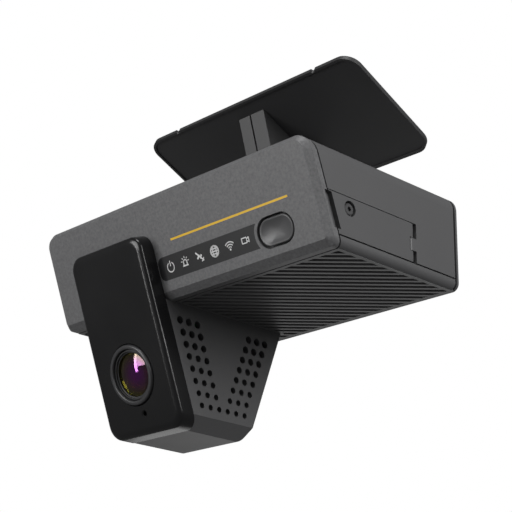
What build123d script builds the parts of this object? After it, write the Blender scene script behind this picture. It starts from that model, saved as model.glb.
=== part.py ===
from build123d import *
import math
import os

# Twin-lens dash camera on a windscreen bracket.  Millimetres, +Z up, +X to the driver's right,
# +Y towards the windscreen.  The model is drawn in a working frame whose zero is the top front
# edge of the housing, and put() moves every piece so that the origin is the middle of the
# adhesive pad's outer face.

# ---- housing ----
BODY_W = 130.0          # overall width
BODY_D = 73.3           # depth over the top face
BODY_H = 32.8           # height
LEAN = 21.0             # lean of the driver-side face, degrees from upright
TOP_R = 5.5             # corner radius of the two top edges
BOT_R = 2.6             # corner radius of the two bottom edges
WALL = 2.2              # front, top and rear walls
SIDE_WALL = 3.2         # side walls, which carry the end panels
EDGE_CH = 1.9           # chamfer round the driver-side face
REAR_CH = 1.2           # chamfer round the rear cover
SEAM = 3.8              # depth of the front cover behind its face
SEAM_GAP = 0.5          # open joint between cover and shell
LIP_T = 1.0             # locating lip
LIP_L = 2.6             # how far the lip reaches past the joint
FIT = 0.1               # clearance between fixed pieces that slide together
REAR_T = 2.1            # rear cover thickness
REAR_GAP = 0.9          # shadow gap in front of the rear cover
REAR_SCREW_SET = 0.2    # rear screws below the surface
WINDOW_W = 22.0         # opening behind the bezel, for the lamps and the wires
WINDOW_IN = 7.7
WINDOW_UP = 3.0

# ---- louvred base ----
BASE_T = 2.0            # plate thickness
BASE_EDGE = 1.8         # side wall left outside the plate
SLOT_PITCH = 3.45       # louvre spacing, across the slots
SLOT_W = 2.05           # slot width
SLOT_ANGLE = 45.0       # slots run diagonally
SLOT_SIDE_MARGIN = 1.3  # plate rim left at the sides
SLOT_FRONT_MARGIN = 1.4
SLOT_REAR_MARGIN = 1.3
SLOT_POD_MARGIN = 1.0
SLOT_LEAST = 2.0        # smallest corner opening kept, in mm2

# ---- end panels and card door ----
PANEL_T = 1.6
PANEL_TOP = 5.8         # below the top face
PANEL_BOTTOM = 28.9
PANEL_GAP = 0.5
DOOR_TOP = 16.1
DOOR_GAP = 0.25
PRY_FRONT = 2.8         # finger-nail slot, from here behind the face ...
PRY_BACK = 5.6          # ... to here
PRY_TOP = 16.4
PRY_LOW = 27.4
HINGE_Y = 49.3          # door hinge axis, from the front edge
HINGE_R = 0.9           # knuckle radius, also the axis depth
HINGE_PIN_R = 0.4
PIN_RUN = 0.05          # running clearance on pins
LUG_LOW = 25.1          # the panel's hinge lug, below the top face
LUG_HIGH = 21.0
LUG_GAP = 0.2
LUG_SIDE_GAP = 0.3
HINGE_CLEAR = 0.35      # round the knuckles
HINGE_SLOT = 2.0        # from the hinge axis to the panel behind it
HINGE_TO_BAY = 1.9
BAY_DEPTH = 3.8
BAY_FLOOR_T = 1.6
BAY_WALL = 1.5
BAY_DROP = 1.2          # bay roof below the door's top edge
BAY_LIFT = 1.5          # bay floor above the door's lower edge
BAY_MARGIN = 1.0        # bay past the screw boss
DOOR_SCREW_Y = 20.5
DOOR_SCREW_Z = 19.6     # below the top face
DOOR_HEAD_R = 1.95
DOOR_HEAD_H = 1.3
DOOR_RECESS_R = 2.5
DOOR_RECESS_DEPTH = 1.6
DOOR_BOSS_R = 3.4
DOOR_BOSS_DEPTH = 3.3
DOOR_HEAD_CH = 0.25
DOOR_SHANK_R = 1.0
HEX_SHARE = 0.42        # hex socket's radius over the head's
DOOR_HEX_DEPTH = 0.9
DOOR_SHANK_REACH = 1.4  # thread beyond the boss
BOSS_CLEAR = 0.6        # lets the boss swing out
INSERT_R = 2.0
INSERT_CLEAR = 0.3      # lets the short captive screw swing out with the door

# ---- face furniture, along the face (x from the middle, l down from the top edge) ----
ACCENT_X0 = -1.2
ACCENT_L = 53.7
ACCENT_T = 0.7
ACCENT_DOWN = 17.2
ACCENT_DEPTH = 0.6
LABEL_X0 = -9.8
LABEL_X1 = 39.6
LABEL_TOP = 21.8
LABEL_BOT = 29.7
LABEL_T = 0.5
ICON_X0 = -4.1
ICON_PITCH = 7.07
ICON_COUNT = 6
ICON_DOWN = 25.9
ICON_R = 1.9
BTN_X = 44.5
BTN_DOWN = 25.9
BTN_W = 14.4
BTN_H = 8.7
BTN_GAP = 0.65
BTN_CORNER = 4.2
BTN_EDGE = 0.4
BTN_DISH_EDGE = 0.6     # flat left round the finger dish
BTN_SET = 0.25          # cap below the face
BTN_DISH = 0.9          # depth of the finger dish
BTN_FLANGE = 1.0
BTN_FLANGE_T = 1.0
BTN_REST_GAP = 0.15
BTN_TRAVEL = 0.8
BTN_STEM_R = 1.6
BTN_STEM_L = 1.4
SWITCH_GAP = 0.2
SWITCH_SIZE = 5.0
SWITCH_T = 1.2
SWITCH_TIP_R = 1.4
SWITCH_TIP_H = 0.4
LED_BOARD_T = 1.0
LED_SIZE = 1.6
LED_T = 0.8
LED_GAP = 0.4           # between a lamp and its light guide
LABEL_RIM = 1.1         # plain cover left between the button and the label
LABEL_ROUND = 2.4

# ---- cabin camera: bezel and pod ----
CAB_X0 = -47.2          # bezel, left edge
CAB_X1 = -10.1          # bezel, right edge
BEZEL_TOP = 12.6
BEZEL_T = 5.9
BEZEL_BEVEL = 1.5
BEZEL_WALL = 1.8
BEZEL_R = 5.0
BEZEL_ARCH = 0.7
POD_H = 40.9            # pod below the housing
POD_REAR_TOP_IN = 7.1   # rear of the pod in from the housing's rear, at the base
POD_REAR_LOW_IN = 21.5  # the same at the pod's bottom
POD_WALL = 2.0
POD_CH = 4.6
POD_REAR_R = 2.5
POD_INSET = 0.15        # pod sides inside the bezel's sides
POD_POST_R = 2.2
POD_POST_H = 9.0
POD_POST_FRONT_IN = 10.8   # post axes in from the pod's front ...
POD_POST_REAR_IN = 14.8    # ... and rear, at the base
POD_SCREW_GRIP = 6.0
MOUTH_IN = 4.0          # pod's front opening, from the housing ...
MOUTH_UP = 6.0          # ... to above the pod's lower end
MOUTH_SIDE = 1.0
LENS_UP = 22.4          # lens axis above the pod's lower end, along the face
LENS_RING_R = 10.3
LENS_RING_BORE = 8.6
LENS_RING_PROUD = 0.9
LENS_RING_CH = 0.6
LENS_RING_FOOT = 1.0    # ring's rear above the housing's face
LENS_RETAINER_SET = 0.9
LENS_SEAT_UP = 3.0
LENS_SEAT_R = 7.5
LENS_SEAT_CH = 0.7
LENS_GLASS_R = 7.4
LENS_GLASS_EDGE = 1.2
LENS_DOME = 1.5
BARREL_R = 6.3
BARREL_WALL = 2.2
BARREL_FLOOR = 4.0
BARREL_L = 11.0
SENSOR_SIZE = 19.0
SENSOR_T = 1.2
MIC_X = -27.2
MIC_BELOW_RING = 3.2
MIC_R = 0.9
MIC_BODY_R = 2.0
MIC_BODY_T = 1.3
IR_DOWN = 30.0          # infrared lamp board, middle
IR_W = 28.0
IR_H = 9.0
IR_T = 1.0
IR_SET = 0.4            # lamps behind the bezel's rear face
IR_LAMPS = 4
IR_LAMP = 2.8
IR_LAMP_T = 1.0
SPK_PITCH = 3.87
SPK_HOLE_TOP_R = 1.4
SPK_HOLE_LOW_R = 1.05
SPK_ROWS = 7
SPK_COLS = 3
SPK_DROP = 5.7          # first row below the housing
SPK_FRONT_IN = 6.7      # first hole of each arm in from the pod's front and rear
SPK_REAR_IN = 15.5
SPK_FRONT_STEP = 1.55
SPK_REAR_STEP = 1.35
SPK_DOWN_SHARE = 0.445  # loudspeaker axis below the housing, over the pod's height
SPK_ROOM = 4.3          # loudspeaker to the pod's walls
SPK_RIM = 1.5
SPK_GASKET_T = 1.0
SPK_FRAME_T = 2.0
SPK_MAGNET_SHARE = 0.55  # of the loudspeaker's radius
SPK_MAGNET_T = 4.0
SPK_CONE_SHARE = 0.4
SPK_CONE_T = 1.4

# ---- road camera ----
ROAD_X = 24.0
ROAD_Z = 17.0
ROAD_RING_R = 11.0
ROAD_RING_PROUD = 3.0
ROAD_RING_CH = 0.8
ROAD_RING_STEP = 1.5    # ring's flange past its body
ROAD_RING_TAIL = 2.0    # body past the rear cover's inner face
ROAD_SEAT = 0.4         # glass seat proud of the rear face
ROAD_GLASS_R = 7.5
ROAD_GLASS_EDGE = 0.8
ROAD_DOME = 1.6
ROAD_BARREL_R = 7.0
ROAD_BARREL_FLOOR = 5.0
ROAD_BARREL_L = 14.0
ROAD_BOARD = 24.0
ROAD_BOARD_ROOM = 1.0   # gaps above, below and behind the road camera's board

# ---- bracket ----
PLATE_W = 103.2
PLATE_L = 46.8
PLATE_T = 1.2
PLATE_R = 6.0
PLATE_TILT = 24.85
PLATE_AHEAD = 0.45      # plate's middle in front of the pivot
PLATE_Z = 34.43
PLATE_RIM_W = 1.0
PLATE_RIM_H = 0.4
NOTCH_X = 34.6
NOTCH_R = 0.9
PAD_T = 1.5
PAD_INSET = 2.0
PIVOT_IN = 16.0         # tilt pivot in from the housing's rear
PIVOT_Z = 10.0          # above the top face
EAR_R = 6.5
EAR_LEFT_T = 5.3
EAR_RIGHT_T = 6.4
EAR_GAP = 0.7           # between the ears above the pivot
EAR_SLOT = 1.6          # between the ears at the pivot
EAR_SLOT_X = -1.5       # middle of the slot
EAR_SLOT_R = 7.4
EAR_FRONT = -17.2       # ear's root on the plate, front
EAR_BACK = 14.5         # ear's root on the plate, back
EAR_SCREWS = (-4.0, 8.0)
EAR_SCREW_GRIP = 2.4    # screw depth in the ear
TANG_T = 1.0
TANG_R = 6.0
WASHER_T = 0.2
WASHER_R = 5.5
BOLT_R = 2.0
BOLT_HEAD_R = 3.8
BOLT_HEAD_H = 2.6
BOLT_SPARE = 1.0        # thread past the nut
BOLT_HEX_R = 1.6
BOLT_HEX_DEPTH = 1.3
NUT_AF = 7.0
NUT_H = 3.2
SADDLE_W = 34.0
SADDLE_L = 24.0
SADDLE_T = 2.0
SADDLE_R = 4.0
SADDLE_SCREW_IN = 4.5
SADDLE_GRIP = 3.0       # screw past the top wall
SCREW_R = 1.0
SCREW_HEAD_R = 2.0
SCREW_HEAD_H = 1.2
SCREW_SOCKET_R = 0.55
SCREW_SOCKET_DEPTH = 0.5
PAN_HEAD_H = 1.3

# ---- posts ----
POST_R = 2.4
POST_WEB = 1.2          # half thickness of a post's web
POST_IN = 3.0           # post axis in from the walls
REAR_POST_L = 6.0
REAR_THREAD = 5.0
BOARD_THREAD = 4.5
REAR_LIP_L = 1.6
WELD = 0.2              # overlap that joins two shapes into one piece

# ---- electronics ----
BOARD_TOP = 19.5        # below the top face
BOARD_T = 1.6
BOARD_SIDE = 6.0        # board in from the housing's sides
BOARD_Y0 = 21.0
BOARD_REAR = 4.3        # board in front of the shell's rear edge
BOARD_POST_IN = 4.0
SOCKET_T = 1.9
SOCKET_WALL = 1.0
SOCKET_GAP = 0.2
SD_W = 11.0
SD_L = 15.0
SD_T = 1.0
SIM_W = 12.3
SIM_L = 8.8
SIM_T = 0.8
SD_Y = 34.6
SIM_Y = 38.0
CARD_STICK = 1.0        # cards stand proud of the sockets
CARD_CLEAR = 0.2
GASKET_T = 0.6
GASKET_W = 1.0
GASKET_OUT = 1.8        # gasket past the cards
GASKET_TOP_W = 0.6
CHIP_X = 12.0
CHIP_HALF = 8.0
CHIP_T = 1.2
THERMAL_T = 0.5
THERMAL_OUT = 1.0
SINK_LEFT = 18.0        # heat sink either side of the processor
SINK_RIGHT = 30.0
SINK_IN = 2.0           # heat sink in from the board's front and the road camera
SINK_T = 1.6
SINK_CLEAR = 0.6        # fins above the louvred base
FIN_PITCH = 4.0
FIN_T = 1.2
MODULE_X0 = -20.0
MODULE_W = 30.0
MODULE_Y0 = 26.0
MODULE_L = 24.0
MODULE_T = 2.6
GNSS_X = 37.0
GNSS_Y = 31.0
GNSS_SIZE = 18.0
GNSS_T = 4.4
FLEX_T = 0.4            # film antennas
CELL_ANT_X0 = -50.0
CELL_ANT_W = 36.0
CELL_ANT_Y0 = 18.0
CELL_ANT_L = 12.0
WIFI_Y0 = 26.0
WIFI_L = 24.0
WIFI_LOW = 17.0
WIFI_H = 9.0
CELL_R = 5.0
CELL_L = 22.0
CELL_X0 = -52.0
CELL_YS = (36.0, 48.0)
INLET_W = 9.0
INLET_H = 3.2
INLET_L = 7.3
INLET_WALL = 0.4
INLET_FLOOR = 1.2
INLET_TONGUE_W = 6.6
INLET_TONGUE_T = 0.7
INLET_SET = 0.4         # inlet's mouth inside the rear face
INLET_GAP = 0.2
INLET_X = -40.0
CABLE_HOLE_R = 5.0

os.makedirs("parts", exist_ok=True)
BIG = 400.0            # larger than anything here, for cutting
sin_l = math.sin(math.radians(LEAN))
cos_l = math.cos(math.radians(LEAN))
tan_l = math.tan(math.radians(LEAN))
sin_p = math.sin(math.radians(PLATE_TILT))
cos_p = math.cos(math.radians(PLATE_TILT))
FACE = Plane(origin=(0, 0, 0), x_dir=(1, 0, 0), z_dir=(0, -cos_l, -sin_l))
PIVOT_Y = BODY_D - PIVOT_IN
PLATE_Y = PIVOT_Y - PLATE_AHEAD
PLATE = Plane(origin=(0, PLATE_Y, PLATE_Z), x_dir=(1, 0, 0), z_dir=(0, sin_p, cos_p))
PAD_FACE = PLATE_T / 2 + PAD_T
ORIGIN = (0, PLATE_Y + sin_p * PAD_FACE, PLATE_Z + cos_p * PAD_FACE)
SIDE_X = BODY_W / 2
POD_BOTTOM = BODY_H + POD_H
POD_REAR_TOP = BODY_D - POD_REAR_TOP_IN
POD_REAR_LOW = BODY_D - POD_REAR_LOW_IN
POD_LOW_L = POD_BOTTOM / cos_l      # pod's lower end, measured down the face
LENS_DOWN = POD_LOW_L - LENS_UP
MIC_DOWN = LENS_DOWN + LENS_RING_R + MIC_BELOW_RING


def put(name, *solids):
    """Write one node, moved to the pad-face origin."""
    move = Pos(-ORIGIN[0], -ORIGIN[1], -ORIGIN[2])
    flat = [piece for shape in solids for piece in shape.solids()]
    moved = [move * piece for piece in flat]
    export_step(moved[0] if len(moved) == 1 else Compound(moved), f"parts/{name}.step")


def span(x0, x1, y0, y1, z0, z1):
    """A box between two corners."""
    middle = Pos((x0 + x1) / 2, (y0 + y1) / 2, (z0 + z1) / 2)
    return middle * Box(abs(x1 - x0), abs(y1 - y0), abs(z1 - z0))


def rod(axis, at, r, a, b):
    """A cylinder along X, Y or Z from a to b; at gives the other two coordinates."""
    length = abs(b - a)
    middle = (a + b) / 2
    if axis == "X":
        return Pos(middle, at[0], at[1]) * Rot(0, 90, 0) * Cylinder(r, length)
    if axis == "Y":
        return Pos(at[0], middle, at[1]) * Rot(90, 0, 0) * Cylinder(r, length)
    return Pos(at[0], at[1], middle) * Cylinder(r, length)


def on_face(x, down, off):
    """A place on the leaning face: across, down the face, and out of it."""
    return FACE.location * Pos(x, -down, off)


def face_rod(x, down, r, off0, off1):
    return on_face(x, down, (off0 + off1) / 2) * Cylinder(r, abs(off1 - off0))


def face_prism(sketch, off0, off1):
    return extrude(FACE.offset(off0) * sketch, amount=off1 - off0)


def ahead_of(off):
    """All space in front of a plane parallel to the leaning face."""
    return FACE.location * Pos(0, 0, off + BIG / 2) * Box(BIG, BIG, BIG)


def section(side, top, bottom):
    """The housing's outline seen from the front, drawn in by the given walls."""
    half = SIDE_X - side
    high = -top
    low = -BODY_H + bottom
    outline = make_face(Polyline((-half, low), (half, low), (half, high), (-half, high), close=True))
    r_top = max(TOP_R - max(side, top), 0.8)
    r_bot = max(BOT_R - max(side, bottom), 0.4)
    outline = fillet(outline.vertices().group_by(Axis.Y)[-1], r_top)
    return fillet(outline.vertices().group_by(Axis.Y)[0], r_bot)


def block(side, top, bottom, y1):
    """The housing's outline run back to y1, before the leaning cut."""
    return extrude(Plane.XZ * section(side, top, bottom), amount=-y1)


def outer_housing():
    body = block(0, 0, 0, BODY_D) - ahead_of(0)
    front = max(body.faces(), key=lambda f: f.normal_at().dot(FACE.z_dir))
    body = chamfer(front.edges(), EDGE_CH)
    rear = body.faces().sort_by(Axis.Y)[-1]
    return chamfer(rear.edges(), REAR_CH)


def ring_lip(side, top, bottom, y0, y1):
    """A thin locating lip just inside the walls."""
    tube = block(side, top, bottom, y1) - block(side + LIP_T, top + LIP_T, bottom + LIP_T, y1)
    return tube - span(-BIG, BIG, -BIG, y0, -BIG, BIG)


HOUSING = outer_housing()
COVER_BACK = -SEAM
SHELL_FRONT = -(SEAM + SEAM_GAP)
REAR_Y0 = BODY_D - REAR_T
SHELL_REAR = REAR_Y0 - REAR_GAP
BASE_Y0 = BODY_H * tan_l + (SEAM + SEAM_GAP) / cos_l
BASE_X = SIDE_X - BASE_EDGE
CAB_X = (CAB_X0 + CAB_X1) / 2
POD_X0 = CAB_X0 + POD_INSET
POD_X1 = CAB_X1 - POD_INSET


# ======================= windscreen bracket =======================
def plate_outline(inset):
    return RectangleRounded(PLATE_W - 2 * inset, PLATE_L - 2 * inset, PLATE_R - inset)


def make_plate():
    """Flat plate with a low rim under its edge and two notches in its front edge."""
    plate = extrude(PLATE.offset(-PLATE_T / 2) * plate_outline(0), amount=PLATE_T)
    rim = plate_outline(0) - plate_outline(PLATE_RIM_W)
    plate += extrude(PLATE.offset(-PLATE_T / 2 - PLATE_RIM_H) * rim, amount=PLATE_RIM_H)
    for x in (-NOTCH_X, NOTCH_X):
        plate -= PLATE.location * Pos(x, -PLATE_L / 2, 0) * Cylinder(NOTCH_R, 4 * PLATE_T)
    return plate


def ear_face():
    """Side view of an ear: wide at the plate, round at the pivot."""
    def on_plate(v):
        root = -PLATE_T / 2
        return (PLATE_Y + v * cos_p + root * sin_p, PLATE_Z - v * sin_p + root * cos_p)
    front = on_plate(EAR_FRONT)
    back = on_plate(EAR_BACK)
    knob = Pos(PIVOT_Y, PIVOT_Z) * Circle(EAR_R)

    def tangent(point, sign):
        dy = PIVOT_Y - point[0]
        dz = PIVOT_Z - point[1]
        reach = math.hypot(dy, dz)
        turn = math.atan2(dz, dy) + sign * (math.pi / 2 - math.asin(EAR_R / reach) + math.pi)
        return (PIVOT_Y + EAR_R * math.cos(turn), PIVOT_Z + EAR_R * math.sin(turn))
    web = make_face(Polyline(front, tangent(front, 1), tangent(back, -1), back, close=True))
    return web + knob


def ear(x0, x1):
    side_view = Plane(origin=(x0, 0, 0), x_dir=(0, 1, 0), z_dir=(1, 0, 0))
    shape = extrude(side_view * ear_face(), amount=x1 - x0)
    shape -= rod("X", (PIVOT_Y, PIVOT_Z), BOLT_R + PIN_RUN, x0 - 1, x1 + 1)
    return shape


def countersunk(length):
    """A countersunk screw along Z, its flat head at zero and its tip below."""
    shank = Pos(0, 0, -length / 2) * Cylinder(SCREW_R, length)
    return shank + Pos(0, 0, -SCREW_HEAD_H / 2) * Cone(SCREW_R, SCREW_HEAD_R, SCREW_HEAD_H)


def driver_socket():
    """The round drive recess in a screw's head at zero."""
    return Pos(0, 0, -SCREW_SOCKET_DEPTH / 2) * Cylinder(SCREW_SOCKET_R, SCREW_SOCKET_DEPTH)


def pan_screw(length):
    """A pan-head screw along Z: the head's underside is at zero and its shank goes down."""
    head = Pos(0, 0, PAN_HEAD_H / 2) * Cylinder(SCREW_HEAD_R, PAN_HEAD_H)
    socket = Pos(0, 0, PAN_HEAD_H - SCREW_SOCKET_DEPTH / 2) * Cylinder(SCREW_SOCKET_R, SCREW_SOCKET_DEPTH)
    return Pos(0, 0, -length / 2) * Cylinder(SCREW_R, length) + head - socket


GAP_X0 = EAR_SLOT_X - EAR_GAP / 2
GAP_X1 = EAR_SLOT_X + EAR_GAP / 2
EAR_X0 = GAP_X0 - EAR_LEFT_T
EAR_X1 = GAP_X1 + EAR_RIGHT_T
plate = make_plate()
tang_room = rod("X", (PIVOT_Y, PIVOT_Z), EAR_SLOT_R, EAR_SLOT_X - EAR_SLOT / 2, EAR_SLOT_X + EAR_SLOT / 2)
ear_left = ear(EAR_X0, GAP_X0) - tang_room
ear_right = ear(GAP_X1, EAR_X1) - tang_room
pad = extrude(PLATE.offset(PLATE_T / 2) * plate_outline(PAD_INSET), amount=PAD_T)
ear_screws = []
ear_screw = countersunk(PLATE_T + EAR_SCREW_GRIP)
for x in ((EAR_X0 + GAP_X0) / 2, (GAP_X1 + EAR_X1) / 2):
    for v in EAR_SCREWS:
        spot = PLATE.location * Pos(x, v, PLATE_T / 2)
        ear_screws.append(spot * (ear_screw - driver_socket()))
        plate -= spot * ear_screw
        ear_left -= spot * ear_screw
        ear_right -= spot * ear_screw
put("mount_plate", plate)
put("adhesive_pad", pad)
put("bracket_ear_left", ear_left)
put("bracket_ear_right", ear_right)
put("bracket_ear_screws", *ear_screws)

bolt = rod("X", (PIVOT_Y, PIVOT_Z), BOLT_R, EAR_X0 - NUT_H - BOLT_SPARE, EAR_X1)
bolt_head = rod("X", (PIVOT_Y, PIVOT_Z), BOLT_HEAD_R, EAR_X1, EAR_X1 + BOLT_HEAD_H)
bolt_end = Plane(origin=(EAR_X1 + BOLT_HEAD_H, PIVOT_Y, PIVOT_Z), x_dir=(0, 1, 0), z_dir=(1, 0, 0))
hex_key = extrude(bolt_end * RegularPolygon(BOLT_HEX_R, 6), amount=-BOLT_HEX_DEPTH)
put("pivot_bolt", bolt + bolt_head - hex_key)
nut_plane = Plane(origin=(EAR_X0, PIVOT_Y, PIVOT_Z), x_dir=(0, 1, 0), z_dir=(-1, 0, 0))
nut = extrude(nut_plane * RegularPolygon(NUT_AF / 2, 6, major_radius=False), amount=NUT_H)
put("pivot_nut", nut - rod("X", (PIVOT_Y, PIVOT_Z), BOLT_R, EAR_X0 - 2 * NUT_H, EAR_X0 + NUT_H))

# Saddle: a steel foot on the housing with an upright tang between the ears.
saddle = span(EAR_SLOT_X - SADDLE_W / 2, EAR_SLOT_X + SADDLE_W / 2,
              PIVOT_Y - SADDLE_L / 2, PIVOT_Y + SADDLE_L / 2, 0, SADDLE_T)
saddle = fillet(saddle.edges().filter_by(Axis.Z), SADDLE_R)
tang_x0 = EAR_SLOT_X - TANG_T / 2
tang_x1 = EAR_SLOT_X + TANG_T / 2
tang = rod("X", (PIVOT_Y, PIVOT_Z), TANG_R, tang_x0, tang_x1)
tang += span(tang_x0, tang_x1, PIVOT_Y - TANG_R, PIVOT_Y + TANG_R, SADDLE_T, PIVOT_Z)
bolt_hole = rod("X", (PIVOT_Y, PIVOT_Z), BOLT_R + PIN_RUN, EAR_X0, EAR_X1)
saddle = saddle + tang - bolt_hole
saddle_screws = []
saddle_holes = []
saddle_screw = countersunk(SADDLE_T + WALL + SADDLE_GRIP)
for i in (-1, 1):
    for j in (-1, 1):
        spot = Pos(EAR_SLOT_X + i * (SADDLE_W / 2 - SADDLE_SCREW_IN),
                   PIVOT_Y + j * (SADDLE_L / 2 - SADDLE_SCREW_IN), SADDLE_T)
        saddle_screws.append(spot * (saddle_screw - driver_socket()))
        saddle_holes.append(spot * saddle_screw)
for hole in saddle_holes:
    saddle -= hole
put("pivot_saddle", saddle)
put("saddle_screws", *saddle_screws)
washers = []
for x0, x1 in ((tang_x0 - WASHER_T, tang_x0), (tang_x1, tang_x1 + WASHER_T)):
    washers.append(rod("X", (PIVOT_Y, PIVOT_Z), WASHER_R, x0, x1) - bolt_hole)
put("friction_washers", *washers)

# ======================= shell, covers and base =======================
shell = HOUSING - ahead_of(SHELL_FRONT) - span(-BIG, BIG, SHELL_REAR, BIG, -BIG, BIG)
shell -= extrude(Plane.XZ * section(SIDE_WALL, WALL, WALL), amount=-BIG / 2)
shell -= span(-BASE_X - FIT, BASE_X + FIT, -BIG, BIG, -BODY_H - 1, -BODY_H + BASE_T)
shell -= span(-SIDE_X + SIDE_WALL, SIDE_X - SIDE_WALL, -BIG, BIG, -BODY_H - 1, -BODY_H + WALL + 1)
for sign in (-1, 1):
    x_in = sign * (SIDE_X - PANEL_T)
    shell -= span(x_in, sign * (SIDE_X + 1), -BIG, BIG, -PANEL_BOTTOM - PANEL_GAP, -PANEL_TOP)
hinge_x = SIDE_X - HINGE_R
screw_at = (DOOR_SCREW_Y, -DOOR_SCREW_Z)
bay_y0 = DOOR_SCREW_Y - DOOR_BOSS_R - BAY_MARGIN
bay_y1 = HINGE_Y - HINGE_TO_BAY
bay_z0 = -PANEL_BOTTOM + BAY_LIFT
bay_z1 = -DOOR_TOP - BAY_DROP
floor_x1 = SIDE_X - BAY_DEPTH
floor_x0 = floor_x1 - BAY_FLOOR_T
bay_fill = span(floor_x0, SIDE_X - SIDE_WALL, bay_y0 - BAY_WALL, bay_y1 + BAY_WALL, bay_z0 - BAY_WALL,
                bay_z1 + BAY_WALL)
bay_cut = span(floor_x1, SIDE_X + 1, bay_y0, bay_y1, bay_z0, bay_z1)
boss_cut = rod("X", screw_at, DOOR_BOSS_R + BOSS_CLEAR, floor_x1, SIDE_X + 1)
shell = shell + bay_fill - bay_cut - boss_cut
shell -= rod("Z", (hinge_x, HINGE_Y), HINGE_R + HINGE_CLEAR, -PANEL_BOTTOM - PANEL_GAP, -DOOR_TOP + PANEL_GAP)
shell -= rod("X", screw_at, INSERT_R, floor_x0 - 1, floor_x1 + 1)
socket_z = -BOARD_TOP - BOARD_T - SOCKET_T / 2
sim_z = -BOARD_TOP + SOCKET_T / 2
for y, z, w, t in ((SD_Y, socket_z, SD_W, SD_T), (SIM_Y, sim_z, SIM_W, SIM_T)):
    half_w = w / 2 + CARD_CLEAR
    half_t = t / 2 + CARD_CLEAR
    shell -= span(floor_x0 - 1, floor_x1 + 1, y - half_w, y + half_w, z - half_t, z + half_t)
BOARD_X = SIDE_X - BOARD_SIDE
BOARD_Y1 = SHELL_REAR - BOARD_REAR
board_posts = [(i * (BOARD_X - BOARD_POST_IN), y) for i in (-1, 1)
               for y in (BOARD_Y0 + BOARD_POST_IN, BOARD_Y1 - BOARD_POST_IN)]
for x, y in board_posts:
    post = rod("Z", (x, y), POST_R, -BOARD_TOP, -WALL + WELD)
    shell += post - rod("Z", (x, y), SCREW_R, -BOARD_TOP, -BOARD_TOP + BOARD_THREAD)
post_x = SIDE_X - SIDE_WALL - POST_IN
rear_posts = [(i * post_x, z) for i in (-1, 1) for z in (-WALL - POST_IN, -BODY_H + WALL + POST_IN)]
for x, z in rear_posts:
    post = rod("Y", (x, z), POST_R, SHELL_REAR - REAR_POST_L, SHELL_REAR)
    reach = math.copysign(SIDE_X - SIDE_WALL + WELD, x)
    post += span(x, reach, SHELL_REAR - REAR_POST_L, SHELL_REAR, z - POST_WEB, z + POST_WEB)
    shell += post - rod("Y", (x, z), SCREW_R, SHELL_REAR - REAR_THREAD, SHELL_REAR + 1)
for hole in saddle_holes:
    shell -= hole
put("main_shell", shell)

# Front cover: the leaning face with its shallow walls and a locating lip.
cover = HOUSING & (ahead_of(COVER_BACK))
cover -= extrude(Plane.XZ * section(WALL, WALL, WALL), amount=-BIG / 2) - ahead_of(-WALL)
lip = ring_lip(SIDE_WALL + FIT, WALL + FIT, WALL + FIT, -1, BIG / 2)
lip = (lip - ahead_of(-WALL + 0.2)) & ahead_of(SHELL_FRONT - LIP_L)
lip -= span(floor_x0 - FIT, SIDE_X, -BIG, BIG, bay_z0 - BAY_WALL - FIT, bay_z1 + BAY_WALL + FIT)
cover += lip
pry = span(SIDE_X - PANEL_T, SIDE_X + 1, -BIG, BIG, -PRY_LOW, -PRY_TOP)
cover -= pry - ahead_of(-PRY_FRONT)


def button_outline(grow):
    outline = RectangleRounded(BTN_W + 2 * grow, BTN_H + 2 * grow, BTN_CORNER + grow)
    return Pos(BTN_X, -BTN_DOWN) * outline


cover -= face_prism(button_outline(BTN_GAP), -WALL - 1, 1)
accent = Pos(ACCENT_X0 + ACCENT_L / 2, -ACCENT_DOWN) * Rectangle(ACCENT_L, ACCENT_T)
cover -= face_prism(accent, -ACCENT_DEPTH, 1)
label_h = LABEL_BOT - LABEL_TOP
label_mid = (LABEL_TOP + LABEL_BOT) / 2
label = Pos((LABEL_X0 + LABEL_X1) / 2, -label_mid) * Rectangle(LABEL_X1 - LABEL_X0, label_h)
label = fillet(label.vertices().group_by(Axis.X)[0], LABEL_ROUND)
label -= button_outline(BTN_GAP + LABEL_RIM)
cover -= face_prism(label, -LABEL_T, 1)
icon_xs = [ICON_X0 + i * ICON_PITCH for i in range(ICON_COUNT)]
for x in icon_xs:
    cover -= face_rod(x, ICON_DOWN, ICON_R + FIT, -WALL - 1, 0)
window_top = BEZEL_TOP + WINDOW_IN
window_low = BODY_H / cos_l - WINDOW_UP
window = Pos(CAB_X, -(window_top + window_low) / 2) * Rectangle(WINDOW_W, window_low - window_top)
cover -= face_prism(window, -WALL - 1, 1)
put("front_cover", cover)
put("accent_strip", face_prism(accent, -ACCENT_DEPTH, 0))
put("indicator_label", face_prism(label, -LABEL_T, 0))

# Rear cover with the road camera's hole, the power inlet's mouth and its own lip.
rear = HOUSING - span(-BIG, BIG, -BIG, REAR_Y0, -BIG, BIG)
rear_lip = ring_lip(SIDE_WALL + FIT, WALL + FIT, BASE_T + FIT, SHELL_REAR - REAR_LIP_L, REAR_Y0 + WELD)
web = POST_WEB + FIT
for x, z in rear_posts:
    rear_lip -= rod("Y", (x, z), POST_R + FIT, SHELL_REAR - REAR_POST_L, SHELL_REAR)
    rear_lip -= span(x, math.copysign(SIDE_X, x), SHELL_REAR - REAR_POST_L, SHELL_REAR, z - web, z + web)
rear += rear_lip
for x, z in rear_posts:
    rear += rod("Y", (x, z), POST_R, SHELL_REAR, REAR_Y0 + WELD)
rear -= rod("Y", (ROAD_X, -ROAD_Z), ROAD_RING_R - ROAD_RING_STEP, 0, BODY_D + 1)
inlet_z = -BOARD_TOP + INLET_H / 2
inlet_mouth = SlotOverall(INLET_W + 2 * INLET_GAP, INLET_H + 2 * INLET_GAP)
rear -= extrude(Plane.XZ * Pos(INLET_X, inlet_z) * inlet_mouth, amount=-BIG / 2)
rear_screws = []
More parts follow.
